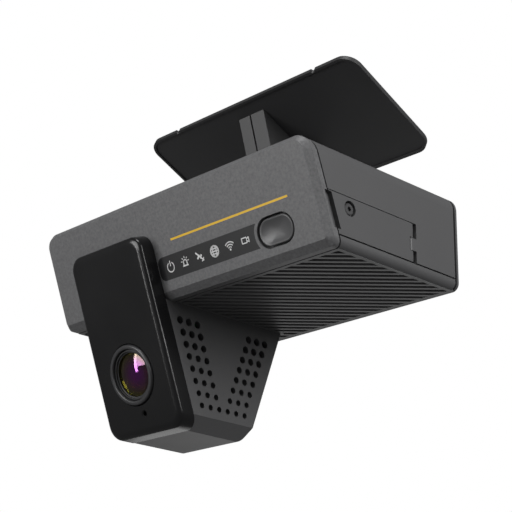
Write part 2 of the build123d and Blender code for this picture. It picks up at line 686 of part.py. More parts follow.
rear_screw = countersunk(BODY_D - SHELL_REAR + REAR_THREAD - REAR_SCREW_SET)
for x, z in rear_posts:
    spot = Pos(x, BODY_D - REAR_SCREW_SET, z) * Rot(-90, 0, 0)
    rear -= spot * rear_screw
    rear -= rod("Y", (x, z), SCREW_HEAD_R, BODY_D - REAR_SCREW_SET, BODY_D + 1)
    rear_screws.append(spot * (rear_screw - driver_socket()))
put("rear_cover", rear)
put("rear_cover_screws", *rear_screws)

# Louvred base plate: diagonal slots clipped to a margin, left out over the pod.
base = span(-BASE_X, BASE_X, BASE_Y0, REAR_Y0 - FIT, -BODY_H, -BODY_H + BASE_T)
field = span(-BASE_X + SLOT_SIDE_MARGIN, BASE_X - SLOT_SIDE_MARGIN,
             BASE_Y0 + SLOT_FRONT_MARGIN, REAR_Y0 - SLOT_REAR_MARGIN, -BODY_H - 1, -BODY_H + BASE_T + 1)
field -= span(POD_X0 - SLOT_POD_MARGIN, POD_X1 + SLOT_POD_MARGIN, -BIG, POD_REAR_TOP + SLOT_POD_MARGIN,
              -BODY_H - 2 * BASE_T, -BODY_H + 2 * BASE_T)
slot_run = BODY_W + BODY_D
slot_side = int(slot_run / SLOT_PITCH / 2)
slot_field = []
for i in range(-slot_side, slot_side + 1):
    centre = Pos(0, BODY_D / 2, -BODY_H + BASE_T / 2) * Rot(0, 0, SLOT_ANGLE) * Pos(0, i * SLOT_PITCH, 0)
    bar = centre * Box(slot_run, SLOT_W, 2 * BASE_T)
    slot_field += [piece for piece in (bar & field).solids() if piece.volume > SLOT_LEAST * BASE_T]
base -= slot_field
pod_front = BODY_H * tan_l
cable_y = (pod_front + POD_REAR_TOP) / 2
base -= rod("Z", (CAB_X, cable_y), CABLE_HOLE_R, -BODY_H - 1, 0)

# Pod: a wedge under the base that carries the cabin camera and the loudspeaker.
def pod_wedge(grow, x0, x1, top_extra):
    """The wedge's side view, drawn in by grow, between two sides."""
    run = (POD_REAR_TOP - POD_REAR_LOW) / (POD_BOTTOM - BODY_H)
    slant = math.hypot(1, run)
    lean_in = grow / cos_l
    rear_in = grow * slant
    z_top = -BODY_H + top_extra
    z_low = -POD_BOTTOM + grow
    pts = ((-z_top * tan_l + lean_in, z_top), (-z_low * tan_l + lean_in, z_low),
           (POD_REAR_LOW + (POD_BOTTOM + z_low) * run - rear_in, z_low),
           (POD_REAR_TOP + top_extra * run - rear_in, z_top))
    side = make_face(Polyline(*pts, close=True))
    rear_low = side.vertices().sort_by(Axis.Y)[:2].sort_by(Axis.X)[-1]
    side = fillet(rear_low, POD_REAR_R - min(grow, POD_REAR_R - 1))
    view = Plane(origin=(x0, 0, 0), x_dir=(0, 1, 0), z_dir=(1, 0, 0))
    return extrude(view * side, amount=x1 - x0)


def pod_corner(x, sign, low, leg):
    """The bevel taken off one lower side edge."""
    bevel = make_face(Polyline((x, low), (x, low + leg), (x - sign * leg, low), close=True))
    return extrude(Plane.XZ * bevel, amount=-BIG / 2)


pod = pod_wedge(0, POD_X0, POD_X1, 0)
pod_inner = pod_wedge(POD_WALL, POD_X0 + POD_WALL, POD_X1 - POD_WALL, POD_WALL)
inner_leg = POD_CH - POD_WALL * (2 - math.sqrt(2))
for x, sign in ((POD_X0, -1), (POD_X1, 1)):
    pod -= pod_corner(x, sign, -POD_BOTTOM, POD_CH)
    pod_inner -= pod_corner(x - sign * POD_WALL, sign, -POD_BOTTOM + POD_WALL, inner_leg)
pod -= pod_inner
mouth_top = BODY_H / cos_l + MOUTH_IN
mouth_low = POD_LOW_L - MOUTH_UP
mouth = Pos(CAB_X, -(mouth_top + mouth_low) / 2)
mouth *= Rectangle(POD_X1 - POD_X0 - 2 * (POD_WALL + MOUTH_SIDE), mouth_low - mouth_top)
pod -= face_prism(mouth, -POD_WALL - 1, 1)
pod_screws = []
pod_screw = pan_screw(BASE_T + POD_SCREW_GRIP)
for side, x in ((-1, POD_X0 + POD_WALL + POD_POST_R), (1, POD_X1 - POD_WALL - POD_POST_R)):
    for y in (pod_front + POD_POST_FRONT_IN, POD_REAR_TOP - POD_POST_REAR_IN):
        post = rod("Z", (x, y), POD_POST_R, -BODY_H - POD_POST_H, -BODY_H)
        post += span(x, x + side * (POD_POST_R + WELD), y - POST_WEB, y + POST_WEB,
                     -BODY_H - POD_POST_H, -BODY_H)
        pod += post & pod_wedge(0, POD_X0, POD_X1, 0)
        spot = Pos(x, y, -BODY_H + BASE_T)
        pod -= spot * pod_screw
        base -= spot * pod_screw
        pod_screws.append(spot * pod_screw)


def grille_row(row):
    """Height and hole radius of one row of the loudspeaker's grille."""
    z = -BODY_H - SPK_DROP - row * SPK_PITCH
    return z, SPK_HOLE_TOP_R + (SPK_HOLE_LOW_R - SPK_HOLE_TOP_R) * row / SPK_ROWS


speaker_holes = []
front_arm = pod_front + SPK_FRONT_IN
rear_arm = POD_REAR_TOP - SPK_REAR_IN
for arm_y, step in ((front_arm, SPK_FRONT_STEP), (rear_arm, -SPK_REAR_STEP)):
    for row in range(SPK_ROWS):
        for col in range(SPK_COLS):
            speaker_holes.append((arm_y + row * step + col * SPK_PITCH, *grille_row(row)))
low_y0 = front_arm + SPK_ROWS * SPK_FRONT_STEP
low_y1 = rear_arm - SPK_ROWS * SPK_REAR_STEP + (SPK_COLS - 1) * SPK_PITCH
for col in range(round((low_y1 - low_y0) / SPK_PITCH) + 1):
    speaker_holes.append((low_y0 + col * SPK_PITCH, *grille_row(SPK_ROWS)))
for y, z, r in speaker_holes:
    pod -= rod("X", (y, z), r, POD_X1 - POD_WALL - 1, POD_X1 + 1)
put("louvre_base", base)
put("pod_shell", pod)
put("pod_screws", *pod_screws)

# ======================= end panels, door and card bay =======================
panel_low = -PANEL_BOTTOM


def side_panel(sign):
    x0 = sign * (SIDE_X - PANEL_T)
    raw = span(x0, sign * SIDE_X, -BIG, SHELL_REAR, panel_low, -PANEL_TOP)
    return raw - ahead_of(SHELL_FRONT)


panel_left = side_panel(-1)
panel_right = side_panel(1)
panel_right -= span(SIDE_X - PANEL_T - 1, SIDE_X + 1, -BIG, HINGE_Y + HINGE_SLOT,
                    -BIG, -DOOR_TOP + DOOR_GAP)
lug = rod("Z", (hinge_x, HINGE_Y), HINGE_R, -LUG_LOW, -LUG_HIGH)
lug += span(SIDE_X - PANEL_T, SIDE_X, HINGE_Y, HINGE_Y + HINGE_SLOT + WELD, -LUG_LOW, -LUG_HIGH)
pin_run = rod("Z", (hinge_x, HINGE_Y), HINGE_PIN_R + PIN_RUN, -LUG_LOW - 1, -LUG_HIGH + 1)
panel_right = panel_right + lug - pin_run
put("end_panel_left", panel_left)
put("end_panel_right", panel_right)

door = span(SIDE_X - PANEL_T, SIDE_X, -BIG, HINGE_Y, panel_low, -DOOR_TOP) - ahead_of(SHELL_FRONT)
door -= pry & ahead_of(-PRY_BACK)
door -= span(SIDE_X - PANEL_T - 1, SIDE_X + 1, HINGE_Y - HINGE_R - LUG_SIDE_GAP, BIG,
             -LUG_LOW - LUG_GAP, -LUG_HIGH + LUG_GAP)
door += rod("Z", (hinge_x, HINGE_Y), HINGE_R, panel_low, -LUG_LOW - LUG_GAP)
door += rod("Z", (hinge_x, HINGE_Y), HINGE_R, -LUG_HIGH + LUG_GAP, -DOOR_TOP)
door += rod("X", screw_at, DOOR_BOSS_R, SIDE_X - DOOR_BOSS_DEPTH, SIDE_X - PANEL_T + WELD)
door -= rod("Z", (hinge_x, HINGE_Y), HINGE_PIN_R, panel_low - 1, 0)
door -= rod("X", screw_at, DOOR_RECESS_R, SIDE_X - DOOR_RECESS_DEPTH, SIDE_X + 1)
door -= rod("X", screw_at, DOOR_SHANK_R + FIT, SIDE_X - DOOR_BOSS_DEPTH - 1, SIDE_X)
put("access_door", door)
put("door_hinge_pin", rod("Z", (hinge_x, HINGE_Y), HINGE_PIN_R, panel_low + FIT, -DOOR_TOP - FIT))
head_x = SIDE_X - DOOR_RECESS_DEPTH
door_screw = rod("X", screw_at, DOOR_HEAD_R, head_x, head_x + DOOR_HEAD_H)
door_screw = chamfer(door_screw.edges().sort_by(Axis.X)[-1], DOOR_HEAD_CH)
door_screw += rod("X", screw_at, DOOR_SHANK_R, SIDE_X - DOOR_BOSS_DEPTH - DOOR_SHANK_REACH, head_x)
socket_plane = Plane(origin=(head_x + DOOR_HEAD_H, *screw_at), x_dir=(0, 1, 0), z_dir=(1, 0, 0))
door_screw -= extrude(socket_plane * RegularPolygon(DOOR_HEAD_R * HEX_SHARE, 6), amount=-DOOR_HEX_DEPTH)
put("door_screw", door_screw)
insert = rod("X", screw_at, INSERT_R, floor_x0, floor_x1)
put("door_screw_insert", insert - rod("X", screw_at, DOOR_SHANK_R + INSERT_CLEAR, floor_x0 - 1, floor_x1 + 1))
gasket_y0 = SD_Y - SD_W / 2 - GASKET_OUT
gasket_y1 = SIM_Y + SIM_W / 2 + GASKET_OUT
gasket_z0 = socket_z - SD_T / 2 - GASKET_OUT
gasket = span(floor_x1, floor_x1 + GASKET_T, gasket_y0, gasket_y1, gasket_z0, bay_z1)
gasket -= span(floor_x1 - 1, floor_x1 + 1 + GASKET_T, gasket_y0 + GASKET_W, gasket_y1 - GASKET_W,
               gasket_z0 + GASKET_W, bay_z1 - GASKET_TOP_W)
put("card_bay_gasket", gasket)

# ======================= face furniture =======================
cap_top = -BTN_SET
flange_top = -WALL - BTN_REST_GAP
flange_low = flange_top - BTN_FLANGE_T
stem_low = flange_low - BTN_STEM_L
button = face_prism(button_outline(0), flange_top, cap_top)
rim = max(button.faces(), key=lambda f: f.center().dot(FACE.z_dir))
button = chamfer(rim.edges(), BTN_EDGE)
dish_half = BTN_W / 2 - BTN_DISH_EDGE
dish_r = (dish_half * dish_half + BTN_DISH * BTN_DISH) / (2 * BTN_DISH)
button -= on_face(BTN_X, BTN_DOWN, cap_top - BTN_DISH + dish_r) * Sphere(dish_r)
button += face_prism(button_outline(BTN_FLANGE), flange_low, flange_top)
button += face_rod(BTN_X, BTN_DOWN, BTN_STEM_R, stem_low, flange_low)
put("event_button", button)

plunger_top = stem_low - BTN_TRAVEL - SWITCH_GAP
switch_top = plunger_top - SWITCH_TIP_H
board_front = switch_top - SWITCH_T
led_x0 = ICON_X0 - 2 * ICON_R
led_x1 = BTN_X + BTN_W / 2
led_board_face = Pos((led_x0 + led_x1) / 2, -label_mid) * Rectangle(led_x1 - led_x0, label_h)
put("indicator_board", face_prism(led_board_face, board_front - LED_BOARD_T, board_front))
switch = on_face(BTN_X, BTN_DOWN, board_front + SWITCH_T / 2) * Box(SWITCH_SIZE, SWITCH_SIZE, SWITCH_T)
put("button_switch", switch + face_rod(BTN_X, BTN_DOWN, SWITCH_TIP_R, switch_top, plunger_top))
guides = []
leds = []
for x in icon_xs:
    guides.append(face_rod(x, ICON_DOWN, ICON_R, board_front + LED_T + LED_GAP, -LABEL_T))
    leds.append(on_face(x, ICON_DOWN, board_front + LED_T / 2) * Box(LED_SIZE, LED_SIZE / 2, LED_T))
put("light_guides", *guides)
put("indicator_leds", *leds)

# ======================= cabin camera =======================
def bezel_outline(inset, bottom):
    """Bezel outline on the face: round corners and a slightly arched top edge."""
    x0 = CAB_X0 + inset
    x1 = CAB_X1 - inset
    top = -BEZEL_TOP - inset
    low = -bottom + inset
    r = BEZEL_R - inset / 2
    corner = r * (1 - math.sqrt(0.5))
    mid = (x0 + x1) / 2
    lines = [Line((x0, low + r), (x0, top - r))]
    lines.append(ThreePointArc((x0, top - r), (x0 + corner, top - corner), (x0 + r, top)))
    lines.append(ThreePointArc((x0 + r, top), (mid, top + BEZEL_ARCH), (x1 - r, top)))
    lines.append(ThreePointArc((x1 - r, top), (x1 - corner, top - corner), (x1, top - r)))
    lines.append(Line((x1, top - r), (x1, low + r)))
    lines.append(ThreePointArc((x1, low + r), (x1 - corner, low + corner), (x1 - r, low)))
    lines.append(Line((x1 - r, low), (x0 + r, low)))
    lines.append(ThreePointArc((x0 + r, low), (x0 + corner, low + corner), (x0, low + r)))
    return make_face(Curve() + lines)


bezel_front_low = POD_LOW_L - BEZEL_T * tan_l - BEZEL_BEVEL
bevel_off = BEZEL_T - BEZEL_BEVEL
bevel_low = POD_LOW_L - (POD_LOW_L - bezel_front_low) * bevel_off / BEZEL_T
waist = FACE.offset(bevel_off) * bezel_outline(0, bevel_low)
bezel = loft([FACE * bezel_outline(0, POD_LOW_L), waist], ruled=True)
bezel += loft([waist, FACE.offset(BEZEL_T) * bezel_outline(BEZEL_BEVEL, bezel_front_low)], ruled=True)
pocket_low = bezel_front_low - BEZEL_WALL
pocket = Pos(CAB_X, -(BEZEL_TOP + BEZEL_WALL + pocket_low) / 2)
pocket *= RectangleRounded(CAB_X1 - CAB_X0 - 2 * BEZEL_WALL, pocket_low - BEZEL_TOP - BEZEL_WALL,
                           BEZEL_R - BEZEL_WALL)
bezel -= face_prism(pocket, -1, BEZEL_T - BEZEL_WALL)
bezel -= face_rod(CAB_X, LENS_DOWN, LENS_RING_R + FIT, -1, BEZEL_T + 1)
bezel -= face_rod(MIC_X, MIC_DOWN, MIC_R, 0, BEZEL_T + 1)
put("bezel_panel", bezel)

ring_top = BEZEL_T + LENS_RING_PROUD
glass_back = LENS_RING_FOOT + LENS_SEAT_UP
seat_top = ring_top - LENS_RETAINER_SET
lens_ring = face_rod(CAB_X, LENS_DOWN, LENS_RING_R, LENS_RING_FOOT, ring_top)
lens_ring = chamfer(max(lens_ring.faces(), key=lambda f: f.center().dot(FACE.z_dir)).edges(), LENS_RING_CH)
lens_ring -= face_rod(CAB_X, LENS_DOWN, LENS_RING_BORE, 0, ring_top + 1)
put("lens_ring", lens_ring)
retainer = face_rod(CAB_X, LENS_DOWN, LENS_RING_BORE, LENS_RING_FOOT, seat_top)
retainer -= face_rod(CAB_X, LENS_DOWN, LENS_SEAT_R, glass_back, seat_top + 1)
retainer -= face_rod(CAB_X, LENS_DOWN, BARREL_R, 0, glass_back + 1)
seat_mouth = Cone(LENS_SEAT_R, LENS_SEAT_R + LENS_SEAT_CH, LENS_SEAT_CH)
retainer -= on_face(CAB_X, LENS_DOWN, seat_top - LENS_SEAT_CH / 2) * seat_mouth
put("lens_retainer", retainer)


def domed_glass(place, r, edge, dome):
    """A glass with a flat back and a domed front; place is the middle of the back."""
    sphere_r = (r * r + dome * dome) / (2 * dome)
    disc = Pos(0, 0, (edge + dome) / 2) * Cylinder(r, edge + dome)
    ball = Pos(0, 0, edge + dome - sphere_r) * Sphere(sphere_r)
    return place * (disc & ball)


lens_place = on_face(CAB_X, LENS_DOWN, glass_back)
put("lens_glass", domed_glass(lens_place, LENS_GLASS_R, LENS_GLASS_EDGE, LENS_DOME))
barrel_low = glass_back - BARREL_L
barrel = face_rod(CAB_X, LENS_DOWN, BARREL_R, barrel_low, glass_back)
barrel -= face_rod(CAB_X, LENS_DOWN, BARREL_R - BARREL_WALL, barrel_low + BARREL_FLOOR, glass_back + 1)
put("lens_barrel", barrel)
sensor = on_face(CAB_X, LENS_DOWN, barrel_low - SENSOR_T / 2) * Box(SENSOR_SIZE, SENSOR_SIZE, SENSOR_T)
put("cabin_sensor_board", sensor)
bezel_back = BEZEL_T - BEZEL_WALL
put("cabin_microphone", face_rod(MIC_X, MIC_DOWN, MIC_BODY_R, bezel_back - MIC_BODY_T, bezel_back))
ir_top = bezel_back - IR_SET - IR_LAMP_T
put("infrared_board", on_face(CAB_X, IR_DOWN, ir_top - IR_T / 2) * Box(IR_W, IR_H, IR_T))
ir_lamps = []
for i in range(IR_LAMPS):
    x = CAB_X + (i - (IR_LAMPS - 1) / 2) * IR_W / IR_LAMPS
    ir_lamps.append(on_face(x, IR_DOWN, ir_top + IR_LAMP_T / 2) * Box(IR_LAMP, IR_LAMP, IR_LAMP_T))
put("infrared_lamps", *ir_lamps)

# Loudspeaker behind the pod's right side.
spk_x = POD_X1 - POD_WALL
spk_drop = POD_H * SPK_DOWN_SHARE
spk_front = (BODY_H + spk_drop) * tan_l
spk_rear = POD_REAR_TOP - (POD_REAR_TOP - POD_REAR_LOW) * SPK_DOWN_SHARE
spk_at = ((spk_front + spk_rear) / 2, -BODY_H - spk_drop)
spk_r = (spk_rear - spk_front) / 2 * cos_l - POD_WALL - SPK_ROOM
frame_x = spk_x - SPK_GASKET_T
magnet_x = frame_x - SPK_FRAME_T
spk_gasket = rod("X", spk_at, spk_r, frame_x, spk_x)
spk_gasket -= rod("X", spk_at, spk_r - SPK_RIM, frame_x - 1, spk_x + 1)
put("speaker_gasket", spk_gasket)
speaker = rod("X", spk_at, spk_r, magnet_x, frame_x)
speaker += rod("X", spk_at, spk_r * SPK_MAGNET_SHARE, magnet_x - SPK_MAGNET_T, magnet_x)
cone = Cone(spk_r * SPK_CONE_SHARE, spk_r - SPK_RIM, SPK_CONE_T)
speaker -= Pos(frame_x - SPK_CONE_T / 2, *spk_at) * Rot(0, 90, 0) * cone
put("loudspeaker", speaker)

# ======================= road camera =======================
road_at = (ROAD_X, -ROAD_Z)
road_seat = BODY_D + ROAD_SEAT
road_ring = rod("Y", road_at, ROAD_RING_R, BODY_D, BODY_D + ROAD_RING_PROUD)
road_ring = chamfer(road_ring.edges().sort_by(Axis.Y)[-1], ROAD_RING_CH)
road_ring += rod("Y", road_at, ROAD_RING_R - ROAD_RING_STEP, REAR_Y0 - ROAD_RING_TAIL, BODY_D)
road_ring -= rod("Y", road_at, ROAD_GLASS_R, road_seat, BIG / 2)
road_ring -= rod("Y", road_at, ROAD_BARREL_R, 0, BIG / 2)
put("road_lens_ring", road_ring)
road_back = Location((ROAD_X, road_seat, -ROAD_Z)) * Rot(-90, 0, 0)
put("road_lens_glass", domed_glass(road_back, ROAD_GLASS_R, ROAD_GLASS_EDGE, ROAD_DOME))
road_barrel_y0 = road_seat - ROAD_BARREL_L
road_barrel = rod("Y", road_at, ROAD_BARREL_R, road_barrel_y0, road_seat)
road_barrel -= rod("Y", road_at, ROAD_BARREL_R - BARREL_WALL, road_barrel_y0 + ROAD_BARREL_FLOOR, BIG / 2)
put("road_lens_barrel", road_barrel)
half_board = ROAD_BOARD / 2
road_board_y0 = road_barrel_y0 - SENSOR_T
put("road_sensor_board", span(ROAD_X - half_board, ROAD_X + half_board, road_board_y0, road_barrel_y0,
                              -BOARD_TOP + ROAD_BOARD_ROOM, -WALL - ROAD_BOARD_ROOM))

# ======================= electronics =======================
board_z1 = -BOARD_TOP
board_z0 = board_z1 - BOARD_T
board = span(-BOARD_X, BOARD_X, BOARD_Y0, BOARD_Y1, board_z0, board_z1)
road_y0 = road_board_y0 - ROAD_BOARD_ROOM
board_cut = half_board + ROAD_BOARD_ROOM
board -= span(ROAD_X - board_cut, ROAD_X + board_cut, road_y0, BIG, -BIG, BIG)
board_screws = []
board_screw = Rot(180, 0, 0) * pan_screw(BOARD_T + BOARD_THREAD)
for x, y in board_posts:
    spot = Pos(x, y, board_z0)
    board -= spot * board_screw
    board_screws.append(spot * board_screw)
put("main_board", board)
put("board_screws", *board_screws)
chip_y = (BOARD_Y0 + road_y0) / 2


def under_board(x, y, half_x, half_y, z0, z1):
    return span(x - half_x, x + half_x, y - half_y, y + half_y, z0, z1)


chip_z = board_z0 - CHIP_T
sink_top = chip_z - THERMAL_T
put("processor", under_board(CHIP_X, chip_y, CHIP_HALF, CHIP_HALF, chip_z, board_z0))
thermal_half = CHIP_HALF + THERMAL_OUT
put("thermal_pad", under_board(CHIP_X, chip_y, thermal_half, thermal_half, sink_top, chip_z))
sink_low = -BODY_H + BASE_T + SINK_CLEAR
sink_y0 = BOARD_Y0 + SINK_IN
sink_y1 = road_y0 - SINK_IN
sink_x0 = CHIP_X - SINK_LEFT
sink_x1 = CHIP_X + SINK_RIGHT
sink = span(sink_x0, sink_x1, sink_y0, sink_y1, sink_top - SINK_T, sink_top)
for i in range(int((sink_x1 - sink_x0) / FIN_PITCH)):
    fin_x = sink_x0 + i * FIN_PITCH
    sink += span(fin_x, fin_x + FIN_T, sink_y0, sink_y1, sink_low, sink_top - SINK_T)
put("heat_sink", sink)
put("cellular_module", span(MODULE_X0, MODULE_X0 + MODULE_W, MODULE_Y0, MODULE_Y0 + MODULE_L, board_z1,
                            board_z1 + MODULE_T))
put("gnss_antenna", under_board(GNSS_X, GNSS_Y, GNSS_SIZE / 2, GNSS_SIZE / 2, -WALL - GNSS_T, -WALL))
put("cellular_antenna", span(CELL_ANT_X0, CELL_ANT_X0 + CELL_ANT_W, CELL_ANT_Y0, CELL_ANT_Y0 + CELL_ANT_L,
                             -WALL - FLEX_T, -WALL))
wifi_x = -SIDE_X + SIDE_WALL
put("wifi_antenna", span(wifi_x, wifi_x + FLEX_T, WIFI_Y0, WIFI_Y0 + WIFI_L, -WIFI_LOW, -WIFI_LOW + WIFI_H))
cells = [rod("X", (y, board_z1 + CELL_R), CELL_R, CELL_X0, CELL_X0 + CELL_L) for y in CELL_YS]
put("backup_capacitors", *cells)
sd_x1 = floor_x0 - SOCKET_GAP
sockets = []
for node, y, z, w, l, t in (("memory_card", SD_Y, socket_z, SD_W, SD_L, SD_T),
                            ("sim_card", SIM_Y, sim_z, SIM_W, SIM_L, SIM_T)):
    half_w = w / 2 + SOCKET_WALL
    body = span(sd_x1 - l, sd_x1, y - half_w, y + half_w, z - SOCKET_T / 2, z + SOCKET_T / 2)
    slot = span(sd_x1 - l + SOCKET_WALL, sd_x1 + 1, y - w / 2, y + w / 2, z - t / 2, z + t / 2)
    sockets.append(body - slot)
    put(node, span(sd_x1 - l + SOCKET_WALL, floor_x1 + CARD_STICK, y - w / 2, y + w / 2,
                   z - t / 2, z + t / 2))
put("card_sockets", *sockets)
inlet_y1 = BODY_D - INLET_SET
inlet_plane = Plane(origin=(INLET_X, inlet_y1, inlet_z), x_dir=(1, 0, 0), z_dir=(0, -1, 0))
inlet = extrude(inlet_plane * SlotOverall(INLET_W, INLET_H), amount=INLET_L)
inlet_hole = SlotOverall(INLET_W - 2 * INLET_WALL, INLET_H - 2 * INLET_WALL)
inlet -= extrude(inlet_plane * inlet_hole, amount=INLET_L - INLET_FLOOR)
inlet += span(INLET_X - INLET_TONGUE_W / 2, INLET_X + INLET_TONGUE_W / 2, inlet_y1 - INLET_L,
              inlet_y1 - INLET_FLOOR, inlet_z - INLET_TONGUE_T / 2, inlet_z + INLET_TONGUE_T / 2)
put("power_inlet", inlet)
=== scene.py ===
import math

import bmesh
import bpy
from mathutils import Matrix, Vector


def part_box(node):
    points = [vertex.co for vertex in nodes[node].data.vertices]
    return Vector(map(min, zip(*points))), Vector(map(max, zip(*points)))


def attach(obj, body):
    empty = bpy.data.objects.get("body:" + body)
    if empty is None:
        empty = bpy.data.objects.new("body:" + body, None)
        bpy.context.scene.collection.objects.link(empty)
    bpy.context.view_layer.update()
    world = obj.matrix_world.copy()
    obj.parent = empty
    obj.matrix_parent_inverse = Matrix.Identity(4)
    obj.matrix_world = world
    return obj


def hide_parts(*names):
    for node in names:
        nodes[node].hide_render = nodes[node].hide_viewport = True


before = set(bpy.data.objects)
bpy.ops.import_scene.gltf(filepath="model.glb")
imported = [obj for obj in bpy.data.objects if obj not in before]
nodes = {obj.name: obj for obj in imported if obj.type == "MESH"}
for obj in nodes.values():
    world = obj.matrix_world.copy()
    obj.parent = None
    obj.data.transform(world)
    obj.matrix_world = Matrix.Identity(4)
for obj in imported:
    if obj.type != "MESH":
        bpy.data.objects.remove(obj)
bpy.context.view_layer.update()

# ---------------------------------------------------------------------------------------------
# Main shell, rear cover, end panels and pod: one moulding material, dark grey ABS with a fine
# spark-eroded skin from the tool.  The grain is in the mould, so it is the same on every face.
# ---------------------------------------------------------------------------------------------


def group(name, inputs, outputs):
    """A shader node group with named sockets, and its two end nodes."""
    tree = bpy.data.node_groups.new(name, "ShaderNodeTree")
    for label, kind, value in inputs:
        socket = tree.interface.new_socket(name=label, in_out="INPUT", socket_type=kind)
        socket.default_value = value
    for label, kind in outputs:
        tree.interface.new_socket(name=label, in_out="OUTPUT", socket_type=kind)
    return tree, tree.nodes.new("NodeGroupInput"), tree.nodes.new("NodeGroupOutput")


def moulded_grain():
    """Spark-eroded skin: a fine pitted height, a slow drift in tone and a little patchy sheen."""
    tree, start, end = group(
        "moulded_grain",
        [("Vector", "NodeSocketVector", (0, 0, 0)), ("Colour", "NodeSocketColor", (0.1, 0.1, 0.1, 1)),
         ("Grain", "NodeSocketFloat", 2600.0), ("Speckle", "NodeSocketFloat", 0.2),
         ("Roughness", "NodeSocketFloat", 0.5)],
        [("Colour", "NodeSocketColor"), ("Roughness", "NodeSocketFloat"), ("Height", "NodeSocketFloat")])
    link = tree.links.new
    fine = tree.nodes.new("ShaderNodeTexNoise")
    fine.inputs["Detail"].default_value = 3.0
    fine.inputs["Roughness"].default_value = 0.65
    link(start.outputs["Vector"], fine.inputs["Vector"])
    link(start.outputs["Grain"], fine.inputs["Scale"])
    slow = tree.nodes.new("ShaderNodeTexNoise")
    slow.inputs["Scale"].default_value = 35.0
    slow.inputs["Detail"].default_value = 2.0
    link(start.outputs["Vector"], slow.inputs["Vector"])
    tone = tree.nodes.new("ShaderNodeMath")
    tone.operation = "MULTIPLY_ADD"
    tone.inputs[1].default_value = 0.12
    link(slow.outputs["Fac"], tone.inputs[0])
    centred = tree.nodes.new("ShaderNodeMath")
    centred.operation = "SUBTRACT"
    centred.inputs[1].default_value = 0.5
    link(fine.outputs["Fac"], centred.inputs[0])
    spots = tree.nodes.new("ShaderNodeMath")
    spots.operation = "MULTIPLY_ADD"
    spots.inputs[2].default_value = 0.94
    link(centred.outputs[0], spots.inputs[0])
    link(start.outputs["Speckle"], spots.inputs[1])
    link(spots.outputs[0], tone.inputs[2])
    paint = tree.nodes.new("ShaderNodeVectorMath")
    paint.operation = "SCALE"
    link(start.outputs["Colour"], paint.inputs[0])
    link(tone.outputs[0], paint.inputs["Scale"])
    link(paint.outputs[0], end.inputs["Colour"])
    rough = tree.nodes.new("ShaderNodeMath")
    rough.operation = "MULTIPLY_ADD"
    rough.inputs[1].default_value = 0.12
    link(slow.outputs["Fac"], rough.inputs[0])
    link(start.outputs["Roughness"], rough.inputs[2])
    link(rough.outputs[0], end.inputs["Roughness"])
    link(fine.outputs["Fac"], end.inputs["Height"])
    return tree


GRAIN = moulded_grain()


def surface(name, metallic=0.0, coat=0.0, specular=0.5):
    """An empty Principled material, with its node tree and shader."""
    material = bpy.data.materials.new(name)
    material.use_nodes = True
    shader = material.node_tree.nodes["Principled BSDF"]
    shader.inputs["Metallic"].default_value = metallic
    shader.inputs["Coat Weight"].default_value = coat
    shader.inputs["Specular IOR Level"].default_value = specular
    return material, material.node_tree, shader


def moulded(name, colour, grain, speckle, roughness, depth, specular=0.5, coat=0.0, metallic=0.0):
    """A finish with the tool's grain at its own size and depth."""
    material, tree, shader = surface(name, metallic=metallic, specular=specular, coat=coat)
    place = tree.nodes.new("ShaderNodeTexCoord")
    skin = tree.nodes.new("ShaderNodeGroup")
    skin.node_tree = GRAIN
    skin.inputs["Colour"].default_value = (*colour, 1)
    skin.inputs["Grain"].default_value = grain
    skin.inputs["Speckle"].default_value = speckle
    skin.inputs["Roughness"].default_value = roughness
    bump = tree.nodes.new("ShaderNodeBump")
    bump.inputs["Strength"].default_value = 0.5
    bump.inputs["Distance"].default_value = depth
    tree.links.new(place.outputs["Object"], skin.inputs["Vector"])
    tree.links.new(skin.outputs["Colour"], shader.inputs["Base Color"])
    tree.links.new(skin.outputs["Roughness"], shader.inputs["Roughness"])
    tree.links.new(skin.outputs["Height"], bump.inputs["Height"])
    tree.links.new(bump.outputs["Normal"], shader.inputs["Normal"])
    return material


def dress(material, *names):
    """Give CAD nodes their finish."""
    for name in names:
        for slot in nodes[name].material_slots:
            slot.material = material


shell_plastic = moulded("shell_plastic", (0.088, 0.088, 0.09), 2400.0, 0.3, 0.42, 0.00002)
dress(shell_plastic, "main_shell", "rear_cover", "end_panel_left", "end_panel_right", "pod_shell")

# ---------------------------------------------------------------------------------------------
# Louvred base: a separate plate of the same plastic, screwed up under the shell.  Its slats are
# moulded with it, and the whole plate's skin is a little smoother than the shell's.
# ---------------------------------------------------------------------------------------------
base_plastic = moulded("base_plastic", (0.1, 0.1, 0.102), 2400.0, 0.3, 0.4, 0.00002)
dress(base_plastic, "louvre_base")

# ---------------------------------------------------------------------------------------------
# Front cover: one leaning moulding in the same dark plastic, with a coarser sparkling grain that
# hides finger marks.  It clips to the shell by a lip all round.
# ---------------------------------------------------------------------------------------------
LEAN = math.radians(21)
FACE_TOP = Vector((0, -0.0577325, -0.0363356))
DOWN_FACE = Vector((0, math.sin(LEAN), -math.cos(LEAN)))
OUT_OF_FACE = Vector((0, -math.cos(LEAN), -math.sin(LEAN)))


def on_face(x, down, out):
    """A point on the leaning face, in millimetres across, down and out of it."""
    return FACE_TOP + Vector((x / 1000, 0, 0)) + DOWN_FACE * (down / 1000) + OUT_OF_FACE * (out / 1000)


face_plastic = moulded("face_plastic", (0.12, 0.12, 0.123), 1100.0, 1.1, 0.42, 0.00006)
dress(face_plastic, "front_cover")

# ---------------------------------------------------------------------------------------------
# Bezel: the black infrared-clear acrylic face of the cabin camera.  It is a hollow moulding with
# polished faces and a rolled front edge, bonded over the pod and the front cover.
# ---------------------------------------------------------------------------------------------


